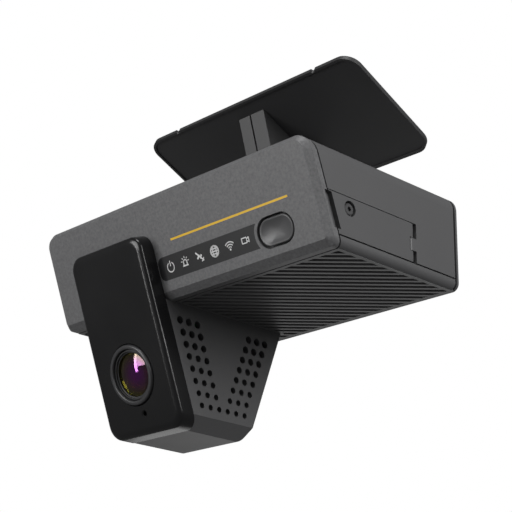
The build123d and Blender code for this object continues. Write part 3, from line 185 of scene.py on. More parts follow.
def piece(name, points, faces, material, body, slot, *stands_for, crease=32):
    """A finished mesh: merged, facing outwards, smooth except at its creases, and on its body."""
    mesh = bpy.data.meshes.new(name)
    mesh.from_pydata(points, [], faces)
    shape = bmesh.new()
    shape.from_mesh(mesh)
    bmesh.ops.remove_doubles(shape, verts=shape.verts, dist=1e-7)
    bmesh.ops.recalc_face_normals(shape, faces=shape.faces)
    shape.to_mesh(mesh)
    shape.free()
    return settle(name, mesh, material, body, slot, *stands_for, crease=crease)


def settle(name, mesh, material, body, slot, *stands_for, crease=32):
    """Shade a mesh, give it its finish and put it on its body."""
    mesh.polygons.foreach_set("use_smooth", [True] * len(mesh.polygons))
    mesh.set_sharp_from_angle(angle=math.radians(crease))
    mesh.materials.clear()
    mesh.materials.append(material)
    thing = bpy.data.objects.new(name, mesh)
    bpy.context.collection.objects.link(thing)
    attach(thing, body)
    if stands_for:
        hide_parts(*stands_for)
    return thing


def skin(loops, close_start=True, close_end=True):
    """Points and faces of a skin through equal loops; an end is closed by one point at its middle."""
    count = len(loops[0])
    points = [point for loop in loops for point in loop]
    faces = []
    for level in range(len(loops) - 1):
        for i in range(count):
            j = (i + 1) % count
            low, high = level * count, (level + 1) * count
            faces.append((low + i, low + j, high + j, high + i))
    for wanted, first in ((close_start, 0), (close_end, (len(loops) - 1) * count)):
        if wanted:
            ring = points[first:first + count]
            points.append(sum(ring, Vector()) / count)
            faces += [(first + i, first + (i + 1) % count, len(points) - 1) for i in range(count)]
    return points, faces


def round_box(width, height, radius, per_corner=8):
    """Outline points of a rectangle with round corners, about its middle."""
    points = []
    for corner, (i, j) in enumerate(((1, 1), (-1, 1), (-1, -1), (1, -1))):
        for k in range(per_corner + 1):
            turn = math.radians(90 * corner + 90 * k / per_corner)
            points.append((i * (width / 2 - radius) + radius * math.cos(turn),
                           j * (height / 2 - radius) + radius * math.sin(turn)))
    return points


BEZEL_X = (-47.2, -10.1)
BEZEL_DOWN = (12.6, 78.94)
BEZEL_T = 5.9
BEZEL_R = 5.0
BEZEL_ROLL = 2.0
BEZEL_DROP = 1.4
BEZEL_FLAT_IN = 0.35
BEZEL_FLAT_R = 3.9
BEZEL_WALL = 1.8
BEZEL_ARCH = 0.65
ROLL_STEPS = 8
POCKET_IN = BEZEL_WALL + 0.9
POCKET_R = 3.2
LENS_AT = (-28.65, 56.54)
LENS_HOLE_R = 10.4
LENS_HOLE_CHAMFER = 0.3
MIC_AT = (-27.2, 70.04)
MIC_HOLE_R = 0.85
MIC_CHAMFER = 0.4


def bezel_loop(out, inset, radius):
    """The bezel's outline at one height; its lower edge rises as it comes forward."""
    low = BEZEL_DOWN[1] - out * math.tan(LEAN) - inset
    top = BEZEL_DOWN[0] + inset
    half = (BEZEL_X[1] - BEZEL_X[0]) / 2 - inset
    middle = (BEZEL_X[0] + BEZEL_X[1]) / 2
    loop = []
    for x, y in round_box(2 * half, low - top, radius, 12):
        arch = BEZEL_ARCH * max(0.0, 1 - (x / (half - radius)) ** 2) if y > 0 else 0.0
        loop.append(on_face(middle + x, (low + top) / 2 - y - arch, out))
    return loop


def round_loop(at, radius, out, count):
    """A circle on the leaning face."""
    return [on_face(at[0] + radius * math.cos(2 * math.pi * i / count),
                    at[1] + radius * math.sin(2 * math.pi * i / count), out) for i in range(count)]


def filled(shape, rims):
    """Fill the flat face between an outline and its holes."""
    edges = []
    for rim in rims:
        corners = [shape.verts.new(point) for point in rim]
        edges += [shape.edges.new((corners[i], corners[(i + 1) % len(corners)])) for i in range(len(corners))]
    bmesh.ops.triangle_fill(shape, use_beauty=True, use_dissolve=False, edges=edges)


def strip(shape, loops):
    """Join loops by a wall of quads."""
    points, faces = skin(loops, False, False)
    corners = [shape.verts.new(point) for point in points]
    for face in faces:
        shape.faces.new([corners[i] for i in face])


def bezel_hole(at, radius, chamfer, floor_out, count):
    """A round hole through the bezel's face, chamfered outside."""
    return [round_loop(at, radius + chamfer, BEZEL_T, count),
            round_loop(at, radius, BEZEL_T - chamfer, count), round_loop(at, radius, floor_out, count)]


outer = [bezel_loop(0, 0, BEZEL_R)]
for step in range(ROLL_STEPS + 1):
    turn = math.radians(90 * step / ROLL_STEPS)
    rise = BEZEL_T - BEZEL_DROP + BEZEL_DROP * math.sin(turn)
    inset = BEZEL_ROLL * (1 - math.cos(turn))
    outer.append(bezel_loop(rise, inset, BEZEL_R - inset / 2))
outer.append(bezel_loop(BEZEL_T, BEZEL_ROLL + BEZEL_FLAT_IN, BEZEL_FLAT_R))
pocket_floor = BEZEL_T - BEZEL_WALL
pocket = [bezel_loop(0, POCKET_IN, POCKET_R), bezel_loop(pocket_floor, POCKET_IN, POCKET_R)]
lens_hole = bezel_hole(LENS_AT, LENS_HOLE_R, LENS_HOLE_CHAMFER, pocket_floor, 64)
mic_hole = bezel_hole(MIC_AT, MIC_HOLE_R, MIC_CHAMFER, pocket_floor, 32)
shape = bmesh.new()
for wall in (outer, pocket, lens_hole, mic_hole):
    strip(shape, wall)
filled(shape, [outer[-1], lens_hole[0], mic_hole[0]])
filled(shape, [pocket[1], lens_hole[-1], mic_hole[-1]])
filled(shape, [outer[0], pocket[0]])
bmesh.ops.remove_doubles(shape, verts=shape.verts, dist=1e-7)
bmesh.ops.recalc_face_normals(shape, faces=shape.faces)
mesh = bpy.data.meshes.new("cabin_bezel")
shape.to_mesh(mesh)
shape.free()
bezel_black = moulded("bezel_black", (0.008, 0.008, 0.0085), 700.0, 0.15, 0.16, 0.000003, 0.45)
settle("cabin_bezel", mesh, bezel_black, "camera", "bezel_plastic", "bezel_panel")

# ---------------------------------------------------------------------------------------------
# Cabin lens: a turned and black-anodised ring, a stepped retainer, a coated front glass, a
# blackened barrel with its baffles, and a smaller coated glass deep inside.
# ---------------------------------------------------------------------------------------------


def turned(profile, at, count=96):
    """Loops of a shape turned about an axis; profile points are (radius, height) in millimetres."""
    return [[at(radius * math.cos(2 * math.pi * i / count), radius * math.sin(2 * math.pi * i / count),
                height) for i in range(count)] for radius, height in profile]


def lens_place(x, down, out):
    """A point about the cabin lens's axis, out from the leaning face."""
    return on_face(LENS_AT[0] + x, LENS_AT[1] + down, out)


def arc(middle, radius, start, end, steps=6, squash=1.0):
    """Points round an arc between two angles, narrowed by squash."""
    return [(middle[0] + radius * squash * math.cos(math.radians(start + (end - start) * k / steps)),
             middle[1] + radius * math.sin(math.radians(start + (end - start) * k / steps)))
            for k in range(steps + 1)]


def ringed(profile, at):
    """A closed ring turned from a closed profile."""
    return skin(turned(profile + profile[:1], at), False, False)


def domed(radius, back, edge, dome, at, steps=14):
    """A glass with a flat back and a domed front."""
    ball = (radius * radius + dome * dome) / (2 * dome)
    profile = [(radius, back), (radius, back + edge)]
    for k in range(1, steps):
        r = radius * (1 - k / steps)
        profile.append((r, back + edge + dome - ball + math.sqrt(ball * ball - r * r)))
    return skin(turned(profile, at))


def coated(name, centre, edge, middle, radius, roughness, transmission, ior, tint, metallic=0.0):
    """Lens glass whose coating changes colour from its middle to its edge."""
    material, tree, shader = surface(name, metallic=metallic)
    place = tree.nodes.new("ShaderNodeTexCoord")
    away = tree.nodes.new("ShaderNodeVectorMath")
    away.operation = "DISTANCE"
    away.inputs[1].default_value = middle
    span = tree.nodes.new("ShaderNodeMapRange")
    span.inputs["From Max"].default_value = radius
    ramp = tree.nodes.new("ShaderNodeValToRGB")
    ramp.color_ramp.elements[0].color = (*centre, 1)
    ramp.color_ramp.elements[1].color = (*edge, 1)
    ramp.color_ramp.elements[0].position = 0.25
    tree.links.new(place.outputs["Object"], away.inputs[0])
    tree.links.new(away.outputs["Value"], span.inputs["Value"])
    tree.links.new(span.outputs["Result"], ramp.inputs["Fac"])
    tree.links.new(ramp.outputs["Color"], shader.inputs["Base Color"])
    shader.inputs["Roughness"].default_value = roughness
    shader.inputs["Transmission Weight"].default_value = transmission
    shader.inputs["IOR"].default_value = ior
    shader.inputs["Specular Tint"].default_value = (*tint, 1)
    return material


anodised = moulded("anodised", (0.035, 0.035, 0.037), 3200.0, 0.3, 0.28, 0.00001)
ring = [(10.25, 1.0)] + arc((9.65, 6.2), 0.6, 0, 90) + arc((9.15, 6.35), 0.45, 90, 180) + [(8.65, 1.0)]
piece("lens_ring_turned", *ringed(ring, lens_place), anodised, "camera", "lens_metal", "lens_ring")
step = [(8.55, 1.0)] + arc((8.3, 5.6), 0.25, 0, 90) + [(8.0, 5.85), (7.95, 5.3), (7.5, 5.25), (7.45, 4.05),
                                                      (6.4, 4.0), (6.4, 1.0)]
piece("lens_retainer_turned", *ringed(step, lens_place), anodised, "camera", "lens_metal", "lens_retainer")
MAGENTA = (0.6, 0.07, 0.6)
OLIVE = (0.2, 0.17, 0.03)
VIOLET_TINT = (0.85, 0.6, 1.0)
WHITE = (1, 1, 1)
# Painted reflection: the coating's own purple-to-olive tint has its middle set 2.2 mm off the lens's axis, so
# the olive falls on one side only.
front_tint_and_painted_reflection_coat = coated("front_tint_and_painted_reflection_coating", (0.62, 0.16, 0.72), (0.34, 0.32, 0.08), lens_place(2.2, 0, 6.5), 0.0072,
                    0.04, 1.0, 1.35, VIOLET_TINT, 0.22)
piece("lens_front_glass", *domed(7.38, 4.05, 1.15, 1.45, lens_place), front_tint_and_painted_reflection_coat, "camera", "lens_glass",
      "lens_glass")
blackened = moulded("blackened", (0.012, 0.012, 0.013), 3200.0, 0.3, 0.6, 0.00002)
barrel = [(6.3, -7.0), (6.3, 3.95), (5.9, 3.95), (5.3, 3.2), (5.3, 2.7), (4.9, 2.6), (4.5, 1.9), (4.5, 1.5),
          (4.1, 1.3), (3.6, -0.4), (3.6, -2.9), (0.01, -3.0)]
piece("lens_barrel_turned", *skin(turned(barrel, lens_place)), blackened, "camera", "lens_metal",
      "lens_barrel")
# Painted reflection: the inner coating's own magenta-to-olive tint has its middle set 1.6 mm off the axis, so
# the olive falls on one side only.
inner_tint_and_painted_reflection_coat = coated("inner_tint_and_painted_reflection_coating", MAGENTA, OLIVE, lens_place(1.6, 0, 1.0), 0.005, 0.05, 0.0, 1.5,
                    WHITE, 1.0)
piece("lens_inner_glass", *domed(3.95, -0.2, 0.5, 1.0, lens_place), inner_tint_and_painted_reflection_coat, "camera", "lens_glass")
sensor_mask = moulded("sensor_mask", (0.02, 0.13, 0.06), 1200.0, 0.25, 0.35, 0.000005)
dress(sensor_mask, "cabin_sensor_board", "road_sensor_board", "infrared_board")

# ---------------------------------------------------------------------------------------------
# Road lens: the same build on the rear cover, larger, with its ring screwed in from outside and
# a flat-backed coated glass in front of a blackened barrel.
# ---------------------------------------------------------------------------------------------
road_low, road_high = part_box("road_lens_glass")
road_middle = (Vector(road_low) + Vector(road_high)) / 2


def road_place(x, down, out):
    """A point about the road lens's axis, out from the rear cover."""
    return Vector((road_middle.x + x / 1000, road_low[1] + out / 1000, road_middle.z - down / 1000))


road_ring = [(9.45, -4.6), (9.45, -0.45), (10.95, -0.4)]
road_ring += arc((10.15, 1.75), 0.8, 0, 90) + arc((9.3, 2.1), 0.45, 90, 180)
road_ring += [(8.6, 1.6), (8.2, 1.5), (7.6, 0.6), (7.55, 0.0), (7.1, -0.05), (7.1, -4.6)]
piece("road_ring_turned", *ringed(road_ring, road_place), anodised, "camera", "lens_metal", "road_lens_ring")
road_coat = coated("road_coating", (0.5, 0.35, 0.7), (0.35, 0.6, 0.55), road_middle, 0.0075, 0.03, 1.0, 1.6,
                   VIOLET_TINT)
piece("road_front_glass", *domed(7.45, 0.02, 0.75, 1.6, road_place), road_coat, "camera", "lens_glass",
      "road_lens_glass")
road_barrel = [(7.0, -14.0), (7.0, 0.0), (6.5, 0.0), (5.8, -1.2), (5.8, -1.8), (5.2, -2.0), (4.7, -3.6),
               (4.7, -8.9), (0.01, -9.0)]
piece("road_barrel_turned", *skin(turned(road_barrel, road_place)), blackened, "camera", "lens_metal",
      "road_lens_barrel")
# Painted reflection: the inner coating's own magenta-to-olive tint has its middle set 1.6 mm off the axis, so
# the olive falls on one side only.
road_inner_tint_and_painted_reflection_coat = coated("road_inner_tint_and_painted_reflection_coating", MAGENTA, OLIVE, road_place(1.6, 0, -3), 0.0055, 0.05, 0.0, 1.5,
                         WHITE, 1.0)
piece("road_inner_glass", *domed(4.6, -4.6, 0.5, 1.1, road_place), road_inner_tint_and_painted_reflection_coat, "camera", "lens_glass")

# ---------------------------------------------------------------------------------------------
# Event button: a satin cap with a finger dish, moulded with its flange and stem, and held behind
# the front cover so that it moves straight in.
# ---------------------------------------------------------------------------------------------
BUTTON_AT = (44.5, 25.9)
BUTTON_W = 14.4
BUTTON_H = 8.7
BUTTON_R = 4.2
STEM_R = 1.6
STEM_FOOT = -4.75
FLANGE_FOOT = -3.35
FLANGE_TOP = -2.35
FLANGE_OUT = 1.0
ROUND_FOOT = -0.75
ROUND_R = 0.5
DISH_IN = 0.6
DISH_DEEP = 1.15
DISH_STEPS = 12
CORNER_STEPS = 12


def button_loop(grow, out, scale=1.0):
    """The cap's outline at one height, grown all round and then scaled about its middle."""
    return [on_face(BUTTON_AT[0] + x * scale, BUTTON_AT[1] - y * scale, out)
            for x, y in round_box(BUTTON_W + 2 * grow, BUTTON_H + 2 * grow, BUTTON_R + grow, CORNER_STEPS)]


stem_turns = [math.radians(90 * corner + 90 * k / CORNER_STEPS)
              for corner in range(4) for k in range(CORNER_STEPS + 1)]
loops = [[on_face(BUTTON_AT[0] + STEM_R * math.cos(turn), BUTTON_AT[1] - STEM_R * math.sin(turn), out)
          for turn in stem_turns] for out in (STEM_FOOT, FLANGE_FOOT)]
loops += [button_loop(FLANGE_OUT, FLANGE_FOOT), button_loop(FLANGE_OUT, FLANGE_TOP),
          button_loop(0, FLANGE_TOP), button_loop(0, ROUND_FOOT)]
for step in range(1, 7):
    turn = math.radians(90 * step / 6)
    loops.append(button_loop(-ROUND_R * (1 - math.cos(turn)), ROUND_FOOT + ROUND_R * math.sin(turn)))
for step in range(1, DISH_STEPS):
    scale = 1 - step / DISH_STEPS
    dip = DISH_DEEP * (1 - scale * scale) ** 0.8
    loops.append(button_loop(-DISH_IN, ROUND_FOOT + ROUND_R - dip, scale))
satin = moulded("button_satin", (0.085, 0.085, 0.087), 2600.0, 0.2, 0.3, 0.000008)
piece("event_button_cap", *skin(loops), satin, "record_button", "button_plastic", "event_button", crease=40)

# ---------------------------------------------------------------------------------------------
# Indicator window: a dark printed film in a shallow pocket, over six clear light guides, with
# plain white symbols printed on it for power, alarm, satellite, network, wireless and video.
# ---------------------------------------------------------------------------------------------
film = moulded("label_film", (0.012, 0.012, 0.013), 1800.0, 0.25, 0.34, 0.00001, 0.35)
dress(film, "indicator_label")
clear = moulded("clear_guide", (0.5, 0.5, 0.52), 1400.0, 0.05, 0.2, 0.000003)
dress(clear, "light_guides")
ICON_FIRST_X = -4.1
ICON_PITCH = 7.07
ICONS_X = [ICON_FIRST_X + ICON_PITCH * i for i in range(6)]
ICONS_DOWN = 25.7
PRINT_T = 0.03
print_points, print_faces = [], []


def slab(outline):
    """One flat printed area with its small thickness."""
    first = len(print_points)
    count = len(outline)
    for out in (0.0, PRINT_T):
        print_points.extend(on_face(x, down, out) for x, down in outline)
    print_faces.append(tuple(first + i for i in reversed(range(count))))
    print_faces.append(tuple(first + count + i for i in range(count)))
    for i in range(count):
        j = (i + 1) % count
        print_faces.append((first + i, first + j, first + count + j, first + count + i))


def stroke(x, points, width=0.34):
    """A printed line through points given about the symbol's middle, up being positive."""
    for (ax, ay), (bx, by) in zip(points, points[1:]):
        along = Vector((bx - ax, by - ay))
        side = Vector((-along.y, along.x)).normalized() * width / 2
        ends = along.normalized() * width * 0.2
        a, b = Vector((ax, ay)) - ends, Vector((bx, by)) + ends
        slab([(x + p.x, ICONS_DOWN - p.y) for p in (a + side, b + side, b - side, a - side)])


power, alarm, satellite, network, wireless, video = ICONS_X
stroke(power, arc((0, -0.1), 1.6, 120, 420, 14))
stroke(power, [(0, 2.0), (0, 0.3)])
stroke(alarm, [(-0.8, -1.0)] + arc((0, -0.1), 0.8, 180, 0, 14) + [(0.8, -1.0)], 0.38)
stroke(alarm, [(-1.2, -1.2), (1.2, -1.2)], 0.46)
for turn in (10, 50, 90, 130, 170):
    away = (math.cos(math.radians(turn)), math.sin(math.radians(turn)))
    stroke(alarm, [(1.3 * away[0], 1.3 * away[1]), (1.8 * away[0], 1.8 * away[1])], 0.3)
stroke(satellite, [(-1.5, 1.5), (1.5, -1.5)], 0.5)
stroke(satellite, [(-1.1, -0.5), (-0.1, 0.5)], 0.6)
stroke(satellite, [(0.1, -0.5), (0.9, 0.4)], 0.6)
stroke(satellite, arc((0.2, -0.2), 1.5, -75, -15, 6), 0.3)
GLOBE_R = 1.85
stroke(network, arc((0, 0), 1.75, 0, 360, 28), 0.5)
stroke(network, arc((0, 0), GLOBE_R, 90, 270, 14, 0.45), 0.42)
stroke(network, arc((0, 0), GLOBE_R, -90, 90, 14, 0.45), 0.42)
for level in (-0.85, 0.0, 0.85):
    reach = math.sqrt(GLOBE_R ** 2 - level ** 2)
    stroke(network, [(-reach, level), (reach, level)], 0.42)
for radius in (0.95, 1.75, 2.55):
    stroke(wireless, arc((0, -1.3), radius, 45, 135, 10), 0.38)
slab([(wireless + x, ICONS_DOWN - y) for x, y in arc((0, -1.2), 0.36, 0, 345, 12)])
stroke(video, [(-1.5, -0.85), (0.6, -0.85), (0.6, 0.85), (-1.5, 0.85), (-1.5, -0.85)], 0.34)
stroke(video, [(0.6, -0.25), (1.55, -0.8), (1.55, 0.8), (0.6, 0.25)], 0.34)
ink = moulded("symbol_ink", (0.75, 0.75, 0.75), 3000.0, 0.15, 0.45, 0.000004)
mesh = bpy.data.meshes.new("indicator_symbols")
mesh.from_pydata(print_points, [], print_faces)
shape = bmesh.new()
shape.from_mesh(mesh)
bmesh.ops.recalc_face_normals(shape, faces=shape.faces)
shape.to_mesh(mesh)
shape.free()
settle("indicator_symbols", mesh, ink, "camera", "clear_guide")

# ---------------------------------------------------------------------------------------------
# Accent strip: a yellow moulded insert, pressed into its groove in the front cover.
# ---------------------------------------------------------------------------------------------
yellow = moulded("yellow_insert", (0.8, 0.48, 0.01), 1800.0, 0.25, 0.35, 0.00001)
dress(yellow, "accent_strip")

# ---------------------------------------------------------------------------------------------
# Card door: a thin cover on two moulded knuckles and a steel pin, closed by one captive screw in
# a brass insert.  Behind it are the card sockets and a soft seal.
# ---------------------------------------------------------------------------------------------
door_plastic = moulded("door_plastic", (0.084, 0.084, 0.086), 2400.0, 0.3, 0.42, 0.00002)
dress(door_plastic, "access_door")
oxide = moulded("black_oxide", (0.11, 0.11, 0.112), 3600.0, 0.3, 0.32, 0.00001, metallic=0.6)
dress(oxide, "door_screw")
steel = moulded("zinc_steel", (0.42, 0.42, 0.44), 1500.0, 0.3, 0.3, 0.000008, metallic=1.0)
dress(steel, "door_hinge_pin", "rear_cover_screws", "pod_screws", "board_screws")
brass = moulded("brass", (0.6, 0.42, 0.16), 2000.0, 0.25, 0.3, 0.000008, metallic=1.0)
dress(brass, "door_screw_insert")
card = moulded("card_plastic", (0.02, 0.02, 0.022), 1500.0, 0.2, 0.4, 0.00001)
dress(card, "memory_card", "sim_card")
silicone = moulded("silicone", (0.045, 0.045, 0.046), 2200.0, 0.3, 0.65, 0.00002)
dress(silicone, "card_bay_gasket", "speaker_gasket", "thermal_pad")

# ---------------------------------------------------------------------------------------------
# Loudspeaker grille: moulded holes through the pod's wall, each with a small rolled rim round it,
# left by the tool's pins.  Two raking arms and a bottom row, over a paper-cone loudspeaker.
# ---------------------------------------------------------------------------------------------


def node_tool(name, sizes):
    """An empty Geometry Nodes tree with named sizes."""
    tree = bpy.data.node_groups.new(name, "GeometryNodeTree")
    for label, kind, value in sizes:
        tree.interface.new_socket(name=label, in_out="INPUT", socket_type=kind).default_value = value
    tree.interface.new_socket(name="Geometry", in_out="OUTPUT", socket_type="NodeSocketGeometry")
    return tree, tree.nodes.new("NodeGroupInput"), tree.nodes.new("NodeGroupOutput")


def made_by(tree, name, values):
    """Run a tree once with its sizes and give back a plain mesh."""
    seed = bpy.data.objects.new(name + "_seed", bpy.data.meshes.new(name + "_seed"))
    bpy.context.collection.objects.link(seed)
    tool = seed.modifiers.new("tool", "NODES")
    tool.node_group = tree
    for item in tree.interface.items_tree:
        if item.in_out == "INPUT" and item.name in values:
            tool[item.identifier] = values[item.name]
    ready = seed.evaluated_get(bpy.context.evaluated_depsgraph_get())
    mesh = bpy.data.meshes.new_from_object(ready)
    seed.modifiers.remove(tool)
    bpy.data.objects.remove(seed)
    mesh.name = name
    return mesh


def grille_tool(material):
    """Rows and columns of rolled rims on the pod's flank, each row stepped along from the last."""
    tree, start, end = node_tool("grille_rims", [
        ("Rows", "NodeSocketInt", 7), ("Columns", "NodeSocketInt", 3), ("Pitch", "NodeSocketFloat", 0.00387),
        ("Step", "NodeSocketFloat", 0.0015), ("Top radius", "NodeSocketFloat", 0.0011),
        ("Radius loss", "NodeSocketFloat", 0.00004), ("Wire", "NodeSocketFloat", 0.00012),
        ("First row", "NodeSocketInt", 0), ("Origin", "NodeSocketVector", (0, 0, 0))])
    link = tree.links.new

    def math_node(operation, a, b):
        node = tree.nodes.new("ShaderNodeMath")
        node.operation = operation
        for socket, value in zip(node.inputs, (a, b)):
            if hasattr(value, "links"):
                link(value, socket)
            else:
                socket.default_value = value
        return node.outputs[0]

    index = tree.nodes.new("GeometryNodeInputIndex").outputs[0]
    sizes = start.outputs
    row = math_node("FLOOR", math_node("DIVIDE", index, sizes["Columns"]), 0.0)
    column = math_node("MODULO", index, sizes["Columns"])
    along = math_node("ADD", math_node("MULTIPLY", column, sizes["Pitch"]),
                      math_node("MULTIPLY", row, sizes["Step"]))
    drop = math_node("MULTIPLY", math_node("MULTIPLY", row, sizes["Pitch"]), -1.0)
    place = tree.nodes.new("ShaderNodeCombineXYZ")
    link(along, place.inputs["Y"])
    link(drop, place.inputs["Z"])
    moved = tree.nodes.new("ShaderNodeVectorMath")
    link(place.outputs[0], moved.inputs[0])
    link(sizes["Origin"], moved.inputs[1])
    dots = tree.nodes.new("GeometryNodePoints")
    link(math_node("MULTIPLY", sizes["Rows"], sizes["Columns"]), dots.inputs["Count"])
    link(moved.outputs[0], dots.inputs["Position"])
    radius = math_node("SUBTRACT", sizes["Top radius"],
                       math_node("MULTIPLY", math_node("ADD", row, sizes["First row"]), sizes["Radius loss"]))
    circle = tree.nodes.new("GeometryNodeCurvePrimitiveCircle")
    circle.inputs["Resolution"].default_value = 24
    circle.inputs["Radius"].default_value = 1.0
    copies = tree.nodes.new("GeometryNodeInstanceOnPoints")
    link(dots.outputs[0], copies.inputs["Points"])
    link(circle.outputs[0], copies.inputs["Instance"])
    copies.inputs["Rotation"].default_value = (0, math.radians(90), 0)
    link(radius, copies.inputs["Scale"])
    real = tree.nodes.new("GeometryNodeRealizeInstances")
    link(copies.outputs[0], real.inputs[0])
    wire = tree.nodes.new("GeometryNodeCurvePrimitiveCircle")
    wire.inputs["Resolution"].default_value = 8
    link(sizes["Wire"], wire.inputs["Radius"])
    tube = tree.nodes.new("GeometryNodeCurveToMesh")
    link(real.outputs[0], tube.inputs["Curve"])
    link(wire.outputs[0], tube.inputs["Profile Curve"])
    paint = tree.nodes.new("GeometryNodeSetMaterial")
    paint.inputs["Material"].default_value = material
    whole = tree.nodes.new("GeometryNodeRealizeInstances")
    link(tube.outputs[0], whole.inputs[0])
    link(whole.outputs[0], paint.inputs["Geometry"])
    link(paint.outputs[0], end.inputs["Geometry"])
    return tree


rim_plastic = moulded("rim_plastic", (0.1, 0.1, 0.102), 2600.0, 0.25, 0.35, 0.000005)
grille = grille_tool(rim_plastic)
HOUSING_H = 0.0328
GRILLE_DOWN = 0.0057
GRILLE_TOP = FACE_TOP.z - (HOUSING_H + GRILLE_DOWN)
PITCH = 0.00387
TOP_HOLE_R = 0.0014
RADIUS_LOSS = 0.00035 / 7
WIRE_R = 0.00008
pod_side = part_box("pod_shell")[1][0]
# Each arm: its first hole's place back from the face's top edge, rows, columns, step and first row.
ARMS = (("front", 0.01929, 7, 3, 0.00155, 0), ("rear", 0.0507, 7, 3, -0.00135, 0),
        ("bottom", 0.03014, 1, 6, 0.0, 7))
for name, back, rows, columns, step, first in ARMS:
    origin = (pod_side - WIRE_R, FACE_TOP.y + back, GRILLE_TOP - first * PITCH)
    mesh = made_by(grille, "grille_rims_" + name, {
        "Rows": rows, "Columns": columns, "Pitch": PITCH, "Step": step, "Top radius": TOP_HOLE_R,
        "Radius loss": RADIUS_LOSS, "Wire": WIRE_R, "First row": first, "Origin": origin})
    settle("grille_rims_" + name, mesh, rim_plastic, "camera", "housing_plastic", crease=60)
paper = moulded("paper_cone", (0.03, 0.03, 0.03), 900.0, 0.4, 0.8, 0.00005)
dress(paper, "loudspeaker")

# ---------------------------------------------------------------------------------------------
# Bracket: a flat plate with a low rim and two upright ears screwed under it, in black plastic
# with a fine skin.  The ears are the same black plastic, painted a slightly paler grey than the plate as
# painted light on their lit fronts.
# ---------------------------------------------------------------------------------------------
bracket_plastic = moulded("bracket_plastic", (0.03, 0.03, 0.031), 2600.0, 0.3, 0.42, 0.00002)
dress(bracket_plastic, "mount_plate")
# Painted light: the ears' black plastic is painted paler than the plate's to stand in for the light falling
# on their fronts.
ear_painted_light_plastic = moulded("ear_painted_light_plastic", (0.06, 0.06, 0.061), 2600.0, 0.3, 0.42, 0.00002)
dress(ear_painted_light_plastic, "bracket_ear_left", "bracket_ear_right")

# ---------------------------------------------------------------------------------------------
# Windscreen pad: die-cut closed-cell foam tape on the plate's outer face, with its cut edge drawn
# in a little between the two glued skins.
# ---------------------------------------------------------------------------------------------
PLATE_LEAN = math.radians(24.85)
PAD_W = 99.2
PAD_D = 42.8
PAD_R = 4.0
PAD_T = 1.5
PAD_FIT = 0.01
PAD_DRAWN_IN = 0.2
EDGE_IN = 0.12
SKIN_IN = 0.15
EDGE_STEPS = 8


def on_pad(x, back, out):
    """A point on the pad's outer face, in millimetres across, back and out of it."""
    return Vector((x, back * math.cos(PLATE_LEAN) + out * math.sin(PLATE_LEAN),
                   -back * math.sin(PLATE_LEAN) + out * math.cos(PLATE_LEAN))) / 1000


def pad_loop(inset, out, scale=1.0):
    """The pad's outline at one height, drawn in all round and then scaled about its middle."""
    return [on_pad(x * scale, y * scale, out)
            for x, y in round_box(PAD_W - 2 * inset, PAD_D - 2 * inset, PAD_R - inset, 10)]


loops = [pad_loop(SKIN_IN, -PAD_T + PAD_FIT, scale) for scale in (0.4, 0.8)]
for step in range(EDGE_STEPS + 1):
    drawn = PAD_DRAWN_IN * math.sin(math.radians(180 * step / EDGE_STEPS)) ** 2
    out = -PAD_T + PAD_FIT + (PAD_T - 2 * PAD_FIT) * step / EDGE_STEPS
    loops.append(pad_loop(EDGE_IN + drawn, out))
loops += [pad_loop(SKIN_IN, -PAD_FIT, scale) for scale in (0.98, 0.8, 0.4)]
foam = moulded("foam", (0.03, 0.03, 0.031), 2600.0, 0.9, 0.8, 0.00012)
pad = piece("windscreen_foam", *skin(loops), foam, "bracket", "foam", "adhesive_pad")

# ---------------------------------------------------------------------------------------------
# Pivot: a zinc-plated saddle with its tang between the ears, nylon washers, one bolt and a nut.
# ---------------------------------------------------------------------------------------------
plate_steel = moulded("plate_steel", (0.16, 0.16, 0.165), 1500.0, 0.3, 0.34, 0.00001, metallic=1.0)
dress(plate_steel, "pivot_saddle", "saddle_screws", "pivot_bolt", "pivot_nut", "bracket_ear_screws")
nylon = moulded("nylon", (0.6, 0.6, 0.56), 1800.0, 0.15, 0.45, 0.00001)
dress(nylon, "friction_washers")

# ---------------------------------------------------------------------------------------------
# Inside: a green main board with its chips, an extruded heat sink, tinned cans and sockets, two
# capacitors in blue sleeve, and ceramic and film antennas glued under the roof.
# ---------------------------------------------------------------------------------------------
mask = moulded("solder_mask", (0.02, 0.14, 0.065), 420.0, 0.5, 0.32, 0.000006)
dress(mask, "main_board", "indicator_board")
epoxy = moulded("chip_epoxy", (0.03, 0.03, 0.031), 2400.0, 0.3, 0.5, 0.00001)
dress(epoxy, "processor", "button_switch", "cabin_microphone")
emitter = moulded("emitter", (0.5, 0.48, 0.3), 1500.0, 0.3, 0.3, 0.00001)
dress(emitter, "indicator_leds", "infrared_lamps")
tinned = moulded("tinned", (0.55, 0.55, 0.56), 900.0, 0.2, 0.3, 0.000008, metallic=1.0)
dress(tinned, "cellular_module", "card_sockets", "power_inlet")
sink = moulded("sink_aluminium", (0.5, 0.5, 0.52), 700.0, 0.25, 0.38, 0.00001, metallic=1.0)
dress(sink, "heat_sink")
fired = moulded("fired_ceramic", (0.6, 0.52, 0.38), 1300.0, 0.3, 0.55, 0.00001)
dress(fired, "gnss_antenna")
film_copper = moulded("film_antenna", (0.25, 0.16, 0.05), 900.0, 0.25, 0.35, 0.000005)
dress(film_copper, "cellular_antenna", "wifi_antenna")
sleeve = moulded("cell_sleeve", (0.03, 0.06, 0.24), 1500.0, 0.2, 0.3, 0.000008)
dress(sleeve, "backup_capacitors")

